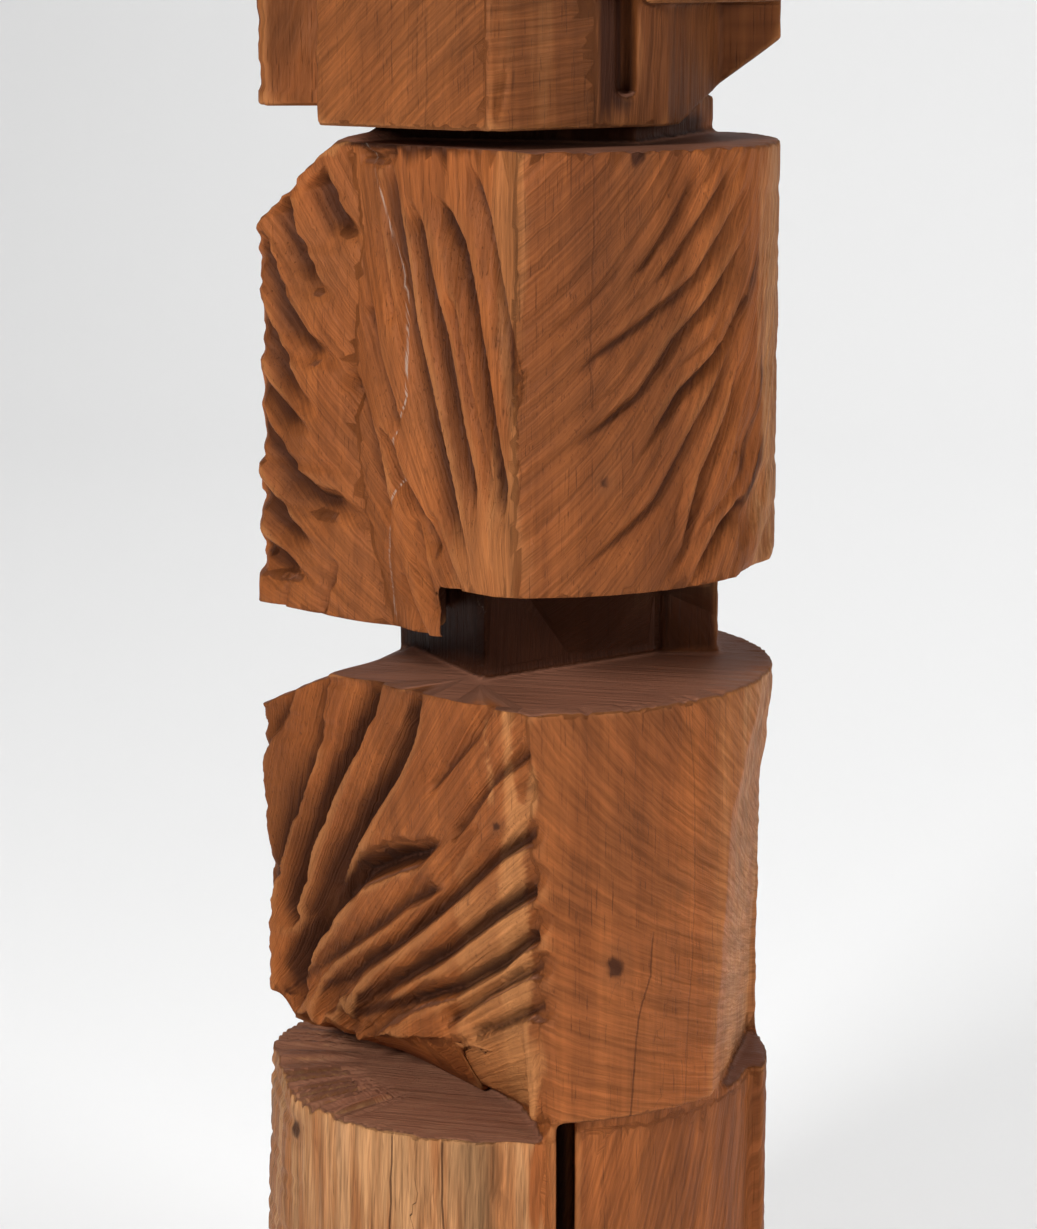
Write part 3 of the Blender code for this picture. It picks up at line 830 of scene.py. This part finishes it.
def even_skin(source, voxel):
    """A closed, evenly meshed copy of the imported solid."""
    mesh = source.data.copy()
    shape = bmesh.new()
    shape.from_mesh(mesh)
    bmesh.ops.remove_doubles(shape, verts=shape.verts, dist=1e-5)
    shape.to_mesh(mesh)
    shape.free()
    rough = bpy.data.objects.new("rough log", mesh)
    bpy.context.scene.collection.objects.link(rough)
    skin = rough.modifiers.new("even skin", "REMESH")
    skin.mode = "VOXEL"
    skin.voxel_size = voxel
    return finished_mesh(rough)


def finished_mesh(rough):
    """The mesh that an object's modifiers make. The object itself is removed."""
    view = bpy.context.evaluated_depsgraph_get()
    mesh = bpy.data.meshes.new_from_object(rough.evaluated_get(view), depsgraph=view)
    old = rough.data
    bpy.data.objects.remove(rough)
    bpy.data.meshes.remove(old)
    return mesh


def pare_foot(points, dice):
    """Slope the wood under the lower left face from the face's last cut to the base."""
    face = lower_left_face()
    places = face.places(points)
    left, height = places[:, 0], places[:, 1]
    lip_line = np.array(LIP_LINE) * MM
    lip = np.interp(left, lip_line[:, 0], lip_line[:, 1])
    lip += 0.0022 * ripple(left[:, None], (0.020,), dice) * step_up(left, 0.09, 0.13)
    hold = between(left, 0.016, 0.236, 0.012)
    moved = points.copy()
    depth = face.depth(points)
    near = (height > LOWER_EAVE - 0.0015) & (depth > -0.02) & (depth < 0.035)
    drop = np.maximum(LOWER_EAVE - lip, 0.0)
    stretch = 1.0 - step_up(height, LOWER_EAVE, LOWER_EAVE + 0.035)
    # Wood above the eave comes down to the lip, and the wood under it slopes to the base
    under = near & (left > 0.05)
    moved[:, 2] -= np.where(under, drop * stretch * hold, 0.0)
    height = moved[:, 2]
    # The neck's wall lies deeper behind the face the further left it is
    wall = 0.0145 + 0.225 * left
    full = np.maximum(lip - BASE_TOP - 0.001, 0.005)
    below = ((points[:, 2] < np.maximum(lip, LOWER_EAVE + 0.001)) & (height > 0.3025)
             & (depth > -0.02) & (depth < 0.085))
    back = np.where(height < lip, 0.003 + wall * (lip - height) / full, depth)
    pared = np.maximum(depth, np.minimum(back, wall))
    slope = lip - full * np.clip((pared - 0.003) / wall, 0.0, 1.0)
    sunk = np.minimum(height, np.maximum(slope, BASE_TOP + 0.001))
    inward = np.where(below, (pared - depth) * hold, 0.0)
    moved += face.inward(points) * inward[:, None]
    moved[:, 2] += np.where(below, (sunk - height) * hold, 0.0)
    return moved


def set_back_piece(points):
    """Set the top block's left piece back behind its front, with upright facets."""
    arc, height = arc_of(points), points[:, 2]
    upper = step_up(height, TOP_FOOT - 0.006, TOP_FOOT - 0.004)
    outer = step_up(from_axis(points), 0.09, 0.12)
    side = (1.0 - step_up(arc, -0.165, -0.161)) * step_up(arc, -0.44, -0.41)
    facets = 0.0
    for place, depth in SIDE_FACETS:
        away = np.abs(arc - place * MM - 0.03 * (height - TOP_FOOT)) / 0.009
        facets = np.maximum(facets, depth * MM * (1.0 - np.clip(away, 0.0, 1.0)))
    moved = points.copy()
    sink = upper * outer * side * (0.004 + facets)
    moved[:, :2] *= 1.0 - (sink / LOG_RADIUS)[:, None]
    lift = (1.0 - step_up(height, TOP_FOOT + 0.01, TOP_FOOT + 0.06)) * 0.010
    moved[:, 2] += upper * outer * side * lift
    return moved


def ragged_edges(points, dice):
    """Chip the lower block's left foot, and wander its rims and the others' a little."""
    arc, height = arc_of(points), points[:, 2]
    outer = step_up(from_axis(points), 0.10, 0.13)
    rind = step_up(from_axis(points), 0.150, 0.164)
    coarse = ripple(arc[:, None], (0.034,), dice)
    fine = ripple(arc[:, None], (0.012,), dice)
    moved = points.copy()
    left = (1.0 - step_up(arc, -0.135, -0.110)) * outer
    foot = between(height, LOWER_FOOT, LOWER_EAVE, 0.030)
    moved[:, 2] += left * foot * (0.0038 * coarse + 0.0026 * fine)
    for rim, sign in ((LOWER_TOP, 1), (UPPER_TOP, 1), (BASE_TOP, 1), (TOP_FOOT, -1)):
        near = between(height, rim - 0.002, rim + 0.002, 0.004) * rind
        moved[:, 2] -= sign * near * 0.0008 * np.maximum(coarse + fine, 0.0)
    wander = 0.0020 * ripple(height[:, None], (0.045,), dice)
    wander += 0.0010 * ripple(height[:, None], (0.016,), dice)
    side = 1.0 - step_up(arc, -0.20, -0.15)
    side = np.maximum(side, 0.25 * step_up(arc, 0.17, 0.21)) * outer
    moved[:, :2] *= 1.0 - (side * np.maximum(wander, 0.0))[:, None] / LOG_RADIUS
    return moved


def skin_tree(source):
    """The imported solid's faces, ready to be met by rays."""
    shape = bmesh.new()
    shape.from_mesh(source.data)
    tree = BVHTree.FromBMesh(shape)
    shape.free()
    return tree


def broad_waves(points, sizes, dice):
    """Let every side stray a little from true, as hand work does."""
    faces = (
        upper_left_face(),
        lower_left_face(),
        RoundFace(UPPER_SKIRT, UPPER_TOP),
        RoundFace(LOWER_FOOT, LOWER_TOP),
        RoundFace(TOP_FOOT, LOG_HEIGHT),
        RoundFace(0.0, BASE_TOP),
    )
    for face in faces:
        waves = ripple(face.places(points), (0.035, 0.11), dice)
        points = press(points, face, sizes.waviness * (0.6 + 0.5 * waves))
    return points


def tool_scallops(points, found, sizes, dice):
    """Fine hollows with sharp arrises between them, drawn out the way the blade went."""
    places = np.column_stack((found["across"], found["along"]))
    fine = np.abs(ripple(places, (0.020, 0.20), dice, 24))
    broad = np.abs(ripple(places, (0.045, 0.40), dice, 24))
    amount = sizes.chatter * (0.8 * np.minimum(fine, 1.6) + 1.2 * np.minimum(broad, 1.6))
    outer = step_up(from_axis(points), 0.085, 0.105)
    outer *= 1.0 - step_up(found["cut"], 0.15, 0.6)
    return points + to_axis(points) * (amount * outer)[:, None]


def skin_normals(points, mesh):
    """The way out at each vertex, once the mesh has its new points."""
    write_points(mesh, points)
    normals = np.empty(len(points) * 3)
    mesh.vertices.foreach_get("normal", normals)
    return normals.reshape(-1, 3)


def hollow_shade(points, edges, mesh):
    """How far each spot lies in a hollow, or on a ridge below nothing, for painted shade and
    highlight.
    """
    normals = skin_normals(points, mesh)
    broad = eased(points, edges, 40)
    rise = np.sum((broad - points) * normals, axis=1)[:, None]
    return eased(rise, edges, 4)[:, 0]


def shut_in(points):
    """How far a spot lies in a neck, the saw kerf or a slot, where little light comes."""
    radius, arc, height = from_axis(points), arc_of(points), points[:, 2]
    inside = 1.0 - step_up(radius, 0.118, 0.150)
    neck = between(height, LOWER_TOP + 0.006, UPPER_FOOT, 0.012) * inside
    behind = step_up(upper_left_face().depth(points), 0.004, 0.020)
    neck *= np.maximum(behind, 1.0 - step_up(height, UPPER_SKIRT - 0.008, UPPER_SKIRT))
    kerf = between(height, UPPER_TOP - 0.001, TOP_FOOT + 0.001, 0.003) * inside
    slot = step_up(height, TOP_FOOT + 0.004, TOP_FOOT + 0.012) * between(
        arc, 0.068, 0.094, 0.005) * (1.0 - step_up(radius, 0.138, 0.150))
    low_slot = (1.0 - step_up(height, BASE_TOP - 0.012, BASE_TOP)) * between(
        arc, 0.005, 0.050, 0.006) * (1.0 - step_up(radius, 0.148, 0.162))
    return np.maximum.reduce((neck, kerf, slot, low_slot))


def keep_value(mesh, name, values):
    """Store one number for each vertex under a name that the wood reads."""
    layer = mesh.attributes.new(name, "FLOAT", "POINT")
    layer.data.foreach_set("value", np.asarray(values, dtype=np.float32))


def thinned(mesh, budget):
    """The mesh with its flat stretches drawn with fewer faces."""
    rough = bpy.data.objects.new("fine log", mesh)
    bpy.context.scene.collection.objects.link(rough)
    triangles = sum(len(face.vertices) - 2 for face in mesh.polygons)
    if triangles > budget:
        thin = rough.modifiers.new("thin", "DECIMATE")
        thin.ratio = budget / triangles
    return finished_mesh(rough)


def carve_log(sizes):
    """The log's worked skin as a mesh with its attributes."""
    dice = np.random.default_rng(sizes.seed)
    voxel = sizes.voxel
    mesh = even_skin(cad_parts[NODE], voxel)
    points = read_points(mesh)
    edges = read_edges(mesh)
    points = recarve(points, skin_tree(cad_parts[NODE]))
    points = pare_foot(points, dice)
    points = eased(points, edges, sizes.rounding)
    points = broad_waves(points, sizes, dice)
    points = set_back_piece(points)
    points = ragged_edges(points, dice)
    found = marks(points, skin_normals(points, mesh), dice)
    points = tool_scallops(points, found, sizes, dice)
    found["hollow"] = hollow_shade(points, edges, mesh) / 0.004
    found["shut"] = shut_in(points)
    for name, values in found.items():
        keep_value(mesh, name, values)
    write_points(mesh, points)
    mesh = thinned(mesh, sizes.face_budget)
    mesh.name = PIECE
    mesh.polygons.foreach_set("use_smooth", [True] * len(mesh.polygons))
    return mesh


# Shader nodes


class Wiring:
    """Short names for the shader nodes that the materials are made of."""

    def __init__(self, tree):
        self.tree = tree
        self.column = 0

    def add(self, kind, **values):
        """One node, with values for its inputs by name or links to other sockets."""
        node = self.tree.nodes.new(kind)
        node.location = (180 * (self.column % 12), -220 * (self.column // 12))
        self.column += 1
        for name, value in values.items():
            self.put(node.inputs[name.replace("_", " ")], value)
        return node

    def put(self, socket, value):
        """Set an input's own value, or link another socket to it."""
        if isinstance(value, bpy.types.NodeSocket):
            self.tree.links.new(value, socket)
        elif socket.type == "RGBA":
            socket.default_value = (*value, 1.0)
        else:
            socket.default_value = value

    def math(self, operation, *values):
        """A sum on one to three numbers or sockets."""
        node = self.add("ShaderNodeMath")
        node.operation = operation
        for index, value in enumerate(values):
            self.put(node.inputs[index], value)
        return node.outputs[0]

    def ramp(self, value, low, high, start=0.0, end=1.0):
        """A smooth step of a value between two levels."""
        node = self.add("ShaderNodeMapRange")
        node.interpolation_type = "SMOOTHSTEP"
        self.tree.links.new(value, node.inputs["Value"])
        for name, level in (("From Min", low), ("From Max", high),
                            ("To Min", start), ("To Max", end)):
            self.put(node.inputs[name], level)
        return node.outputs["Result"]

    def blend(self, share, first, second, kind="MIX"):
        """A colour between two colours."""
        node = self.add("ShaderNodeMix")
        node.data_type = "RGBA"
        node.blend_type = kind
        for index, value in ((0, share), (6, first), (7, second)):
            self.put(node.inputs[index], value)
        return node.outputs[2]

    def noise(self, place, scale, detail=3.0, rough=0.5):
        """Cloudy noise about a half at a place."""
        node = self.add("ShaderNodeTexNoise", Scale=scale, Detail=detail, Roughness=rough)
        self.tree.links.new(place, node.inputs["Vector"])
        return node.outputs[0]

    def joined(self, first, second, third=0.0):
        """A place from three numbers."""
        node = self.add("ShaderNodeCombineXYZ")
        for index, value in enumerate((first, second, third)):
            self.put(node.inputs[index], value)
        return node.outputs[0]

    def attribute(self, name):
        """A number that the mesh keeps for each vertex."""
        node = self.add("ShaderNodeAttribute")
        node.attribute_name = name
        return node.outputs["Fac"]


def new_group(name, inputs, outputs):
    """An empty node group with named float inputs and outputs."""
    group = bpy.data.node_groups.new(name, "ShaderNodeTree")
    for label, default in inputs:
        socket = group.interface.new_socket(
            name=label, in_out="INPUT", socket_type="NodeSocketFloat")
        socket.default_value = default
    for label in outputs:
        group.interface.new_socket(
            name=label, in_out="OUTPUT", socket_type="NodeSocketFloat")
    wires = Wiring(group)
    entry = wires.add("NodeGroupInput")
    leave = wires.add("NodeGroupOutput")
    return group, wires, entry, leave


def grain_group():
    """Wood grain along the log: broad streaks, fibres and pores."""
    inputs = (("Streak width", 0.03), ("Fibre width", 0.004))
    group, wires, entry, leave = new_group(
        "wood grain", inputs, ("Streak", "Fibre", "Pore"))
    place = wires.add("ShaderNodeTexCoord").outputs["Object"]

    def drawn_out(width, stretch):
        """Coordinates counted in widths, with the height drawn out."""
        count = wires.math("DIVIDE", 1.0, width)
        scale = wires.joined(count, count, wires.math("DIVIDE", count, stretch))
        node = wires.add("ShaderNodeVectorMath")
        node.operation = "MULTIPLY"
        group.links.new(place, node.inputs[0])
        group.links.new(scale, node.inputs[1])
        return node.outputs[0]

    streak = wires.noise(drawn_out(entry.outputs[0], 14.0), 1.0, 3.0, 0.55)
    fibre = wires.noise(drawn_out(entry.outputs[1], 30.0), 1.0, 3.0, 0.6)
    fine = wires.math("MULTIPLY", entry.outputs[1], 0.28)
    pore = wires.noise(drawn_out(fine, 40.0), 1.0, 2.0, 0.6)
    group.links.new(streak, leave.inputs["Streak"])
    group.links.new(fibre, leave.inputs["Fibre"])
    group.links.new(wires.ramp(pore, 0.58, 0.75), leave.inputs["Pore"])
    return group


def shade_by(wires, colour, share):
    """A colour made darker or lighter by a share."""
    tint = wires.joined(share, share, share)
    return wires.blend(1.0, colour, tint, "MULTIPLY")


def thin_line(wires, name, full, gone):
    """A mask along a thin line that the mesh keeps its distance from."""
    gap = wires.math("ABSOLUTE", wires.attribute(name))
    line = wires.ramp(gap, full, gone, 1.0, 0.0)
    return wires.math("MULTIPLY", line, wires.attribute(name + "_strength"))


def grain_node(wires, group, streak_width, fibre_width):
    """The wood grain at one size: its streaks, fibres and pores."""
    node = wires.add("ShaderNodeGroup")
    node.node_tree = group
    wires.put(node.inputs["Streak width"], streak_width)
    wires.put(node.inputs["Fibre width"], fibre_width)
    return node.outputs


def blade_marks(wires, across, along, shift, detail, rough):
    """Noise drawn out along the blade's way, with its two scales in marks a metre."""
    place = wires.joined(wires.math("MULTIPLY", wires.attribute("across"), across),
                         wires.math("MULTIPLY", wires.attribute("along"), along), shift)
    return wires.noise(place, 1.0, detail, rough)


def bare_wood(wires, colours, grain, board, cloud):
    """The wood's own colour: heartwood, its paler stripes, and sapwood near the bark."""
    colour = wires.blend(wires.ramp(grain["Streak"], 0.36, 0.70), colours.heartwood,
                         colours.warm_heartwood)
    colour = wires.blend(wires.ramp(cloud, 0.35, 0.75, 0.0, 0.55), colour,
                         colours.brown_heartwood)
    stripe = wires.math("ADD", wires.attribute("stripe"),
                        wires.ramp(grain["Streak"], 0.55, 0.8, 0.0, 0.35))
    colour = wires.blend(wires.ramp(stripe, 0.15, 1.0), colour, colours.pale_wood_and_ridge_highlight)
    sapwood = wires.blend(wires.ramp(board["Streak"], 0.38, 0.64),
                          colours.streaked_sapwood, colours.sapwood)
    sapwood = wires.blend(wires.ramp(grain["Streak"], 0.52, 0.72, 0.0, 0.6), sapwood,
                          colours.grey_sapwood)
    sapwood = shade_by(wires, sapwood, wires.ramp(board["Fibre"], 0.35, 0.62, 0.80, 1.08))
    fray = wires.math("MULTIPLY", wires.math("SUBTRACT", grain["Fibre"], 0.5), 0.5)
    bark = wires.math("ADD", wires.attribute("bark"), fray)
    colour = wires.blend(wires.ramp(bark, 0.25, 0.8), colour, sapwood)
    return shade_by(wires, colour, wires.attribute("tone"))


def carved_wood(colours):
    """Red-brown wood, pale near the bark, dusty on tops, painted shade in cuts and necks,
    highlight on ridges.
    """
    material = bpy.data.materials.new("carved wood")
    material.use_nodes = True
    tree = material.node_tree
    tree.nodes.clear()
    wires = Wiring(tree)
    output = wires.add("ShaderNodeOutputMaterial")
    shader = wires.add("ShaderNodeBsdfPrincipled", Specular_IOR_Level=0.12)
    tree.links.new(shader.outputs[0], output.inputs["Surface"])

    group = grain_group()
    grain = grain_node(wires, group, 0.022, 0.0035)
    board = grain_node(wires, group, 0.013, 0.0022)
    blade = blade_marks(wires, 430.0, 15.0, 0.0, 4.0, 0.62)
    wide_blade = blade_marks(wires, 120.0, 8.0, 4.0, 2.0, 0.5)
    cloud = wires.noise(wires.add("ShaderNodeTexCoord").outputs["Object"], 9.0, 3.0, 0.55)
    colour = bare_wood(wires, colours, grain, board, cloud)
    for value, low, high, dark, light in (
        (grain["Fibre"], 0.30, 0.60, 0.92, 1.04),
        (blade, 0.32, 0.68, 0.76, 1.15),
        (wide_blade, 0.32, 0.68, 0.85, 1.09),
    ):
        colour = shade_by(wires, colour, wires.ramp(value, low, high, dark, light))

    # The cut's depth, broken up by the blade's noise: it sets the painted shade in the cuts
    # and keeps dust off them
    cut = wires.math("ADD", wires.attribute("cut"),
                     wires.ramp(wide_blade, 0.3, 0.7, -0.15, 0.15))
    hollow = wires.attribute("hollow")
    knot = wires.attribute("knot")
    for value, low, high, start, end, over in (
        # Painted shade in the gouge cuts, darkest where they are deepest
        (cut, 0.20, 1.0, 0.0, 0.85, colours.painted_shade_and_dark_marks),
        # Painted shade in the hollows, from how far each spot lies below its surroundings
        (hollow, 0.20, 1.1, 0.0, 0.75, colours.painted_shade_and_dark_marks),
        # Painted shade in the necks, the saw kerf and the slots
        (wires.attribute("shut"), 0.0, 1.0, 0.0, 0.92, colours.painted_shade_and_dark_marks),
        # Painted highlight along the ridges and arrises, in the pale wood's colour
        (hollow, -0.25, -0.9, 0.0, 0.55, colours.pale_wood_and_ridge_highlight),
        (knot, 1.0, 2.6, 0.45, 0.0, colours.brown_heartwood),
        (knot, 0.55, 1.05, 0.85, 0.0, colours.painted_shade_and_dark_marks),
    ):
        colour = wires.blend(wires.ramp(value, low, high, start, end), colour, over)
    crack = thin_line(wires, "crack", 0.0003, 0.0009)
    seam = wires.math("MULTIPLY", thin_line(wires, "seam", 0.0003, 0.0011),
                      wires.ramp(blade, 0.45, 0.6))
    for share, most, over in (
        (grain["Pore"], 0.55, colours.painted_shade_and_dark_marks),
        (crack, 0.85, colours.painted_shade_and_dark_marks),
        (seam, 0.8, colours.bark_skin),
    ):
        colour = wires.blend(wires.math("MULTIPLY", share, most), colour, over)

    normal = wires.add("ShaderNodeSeparateXYZ")
    tree.links.new(wires.add("ShaderNodeNewGeometry").outputs["Normal"], normal.inputs[0])
    top = wires.math("MULTIPLY", wires.ramp(normal.outputs[2], 0.55, 0.9),
                     wires.ramp(cut, 0.20, 0.45, 1.0, 0.0))
    dusty = shade_by(wires, colours.dust, wires.ramp(cloud, 0.3, 0.7, 0.85, 1.12))
    colour = wires.blend(wires.math("MULTIPLY", top, 0.88), colour, dusty)
    tree.links.new(colour, shader.inputs["Base Color"])
    tree.links.new(wires.ramp(blade, 0.3, 0.7, 0.70, 0.50), shader.inputs["Roughness"])

    relief = wires.math("MULTIPLY", grain["Fibre"], 0.0005)
    for action, value, height in (
        ("ADD", blade, 0.0016),
        ("ADD", wide_blade, 0.0026),
        ("SUBTRACT", grain["Pore"], 0.0004),
        ("SUBTRACT", crack, 0.0012),
    ):
        relief = wires.math(action, relief, wires.math("MULTIPLY", value, height))
    bump = wires.add("ShaderNodeBump", Strength=0.7, Distance=1.0, Height=relief)
    tree.links.new(bump.outputs[0], shader.inputs["Normal"])
    return material


# The studio


def paper_sweep(colour):
    """A floor that curves up into a backdrop, all in one sheet of paper."""
    shape = bmesh.new()
    bend = 2.0
    profile = [(-4.0, 0.0)]
    for turn in range(0, 91, 6):
        angle = math.radians(turn)
        profile.append((5.0 + bend * math.sin(angle), bend * (1.0 - math.cos(angle))))
    profile.append((5.0 + bend, 7.0))
    half_width = 7.0
    chain = [shape.verts.new((-half_width, y, z)) for y, z in profile]
    edges = [shape.edges.new(pair) for pair in zip(chain, chain[1:])]
    swept = bmesh.ops.extrude_edge_only(shape, edges=edges)["geom"]
    moved = [part for part in swept if isinstance(part, bmesh.types.BMVert)]
    bmesh.ops.translate(shape, vec=(2 * half_width, 0, 0), verts=moved)
    bmesh.ops.recalc_face_normals(shape, faces=shape.faces)
    mesh = bpy.data.meshes.new("paper sweep")
    shape.to_mesh(mesh)
    shape.free()
    mesh.polygons.foreach_set("use_smooth", [True] * len(mesh.polygons))
    material = bpy.data.materials.new("paper")
    material.use_nodes = True
    shader = material.node_tree.nodes["Principled BSDF"]
    shader.inputs["Base Color"].default_value = (*colour, 1.0)
    shader.inputs["Roughness"].default_value = 0.9
    mesh.materials.append(material)
    sheet = bpy.data.objects.new("paper_sweep", mesh)
    bpy.context.scene.collection.objects.link(sheet)
    return sheet


def soft_lamp(name, place, aim, size, power):
    """A square soft lamp that faces a point."""
    light = bpy.data.lights.new(name, "AREA")
    light.shape = "SQUARE"
    light.size = size
    light.energy = power
    lamp = bpy.data.objects.new(name, light)
    lamp.location = place
    lamp.rotation_euler = (Vector(aim) - Vector(place)).to_track_quat("-Z", "Y").to_euler()
    bpy.context.scene.collection.objects.link(lamp)
    return lamp


# Operators


class TOTEM_OT_carve_log(bpy.types.Operator):
    """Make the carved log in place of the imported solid"""

    bl_idname = "totem.carve_log"
    bl_label = "Carve the log"

    def execute(self, context):
        mesh = carve_log(context.scene.totem_sizes)
        mesh.materials.clear()
        mesh.materials.append(carved_wood(context.scene.totem_colours))
        piece = bpy.data.objects.new(PIECE, mesh)
        context.scene.collection.objects.link(piece)
        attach(piece, "root")
        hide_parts(NODE)
        return {"FINISHED"}


class TOTEM_OT_set_stage(bpy.types.Operator):
    """Put up the paper sweep, the lamps and the camera"""

    bl_idname = "totem.set_stage"
    bl_label = "Set the stage"

    def execute(self, context):
        stage = context.scene.totem_stage
        paper = paper_sweep(stage.paper)
        soft_lamp("key lamp", (-1.7, -2.6, 2.1), (0.0, 0.0, 0.6), 0.75, 107.0)
        soft_lamp("fill lamp", (2.4, -1.9, 1.3), (0.0, 0.0, 0.5), 1.2, 36.0)
        above = soft_lamp("paper lamp", (1.9, 3.2, 6.0), (1.9, 3.8, 0.0), 7.0, 395.0)
        lit = bpy.data.collections.new("lit by the paper lamp")
        lit.objects.link(paper)
        above.light_linking.receiver_collection = lit
        world = bpy.data.worlds.new("soft room")
        world.use_nodes = True
        world.node_tree.nodes["Background"].inputs["Color"].default_value = (1, 1, 1, 1)
        world.node_tree.nodes["Background"].inputs["Strength"].default_value = 0.10
        context.scene.world = world
        context.scene.view_settings.view_transform = "Standard"
        eye = bpy.data.cameras.new("camera")
        eye.lens = stage.lens
        eye.sensor_fit = "VERTICAL"
        eye.sensor_height = 36.0
        eye.clip_end = 60.0
        camera = bpy.data.objects.new("camera", eye)
        camera.location = stage.camera_place
        camera.rotation_euler = (math.radians(90) - stage.camera_tilt, 0.0, 0.0)
        context.scene.collection.objects.link(camera)
        context.scene.camera = camera
        return {"FINISHED"}


class TOTEM_PT_panel(bpy.types.Panel):
    """Lists the steps that dress the totem pole"""

    bl_label = "Carved totem pole"
    bl_idname = "TOTEM_PT_panel"
    bl_space_type = "VIEW_3D"
    bl_region_type = "UI"
    bl_category = "Totem"

    def draw(self, context):
        for step in STEPS:
            self.layout.operator(step.bl_idname)


STEPS = (TOTEM_OT_carve_log, TOTEM_OT_set_stage)
GROUPS = (
    ("totem_sizes", CarvingSizes),
    ("totem_colours", WoodColours),
    ("totem_stage", StageSizes),
)


def register():
    """Make the settings, the operators and the panel known to Blender."""
    for name, group in GROUPS:
        bpy.utils.register_class(group)
        setattr(bpy.types.Scene, name, bpy.props.PointerProperty(type=group))
    for step in (*STEPS, TOTEM_PT_panel):
        bpy.utils.register_class(step)


def unregister():
    """Take the settings, the operators and the panel away again."""
    for step in (TOTEM_PT_panel, *reversed(STEPS)):
        bpy.utils.unregister_class(step)
    for name, group in reversed(GROUPS):
        delattr(bpy.types.Scene, name)
        bpy.utils.unregister_class(group)


def main():
    """Run the steps in order."""
    register()
    bpy.ops.totem.carve_log()
    bpy.ops.totem.set_stage()


if __name__ == "__main__":
    main()
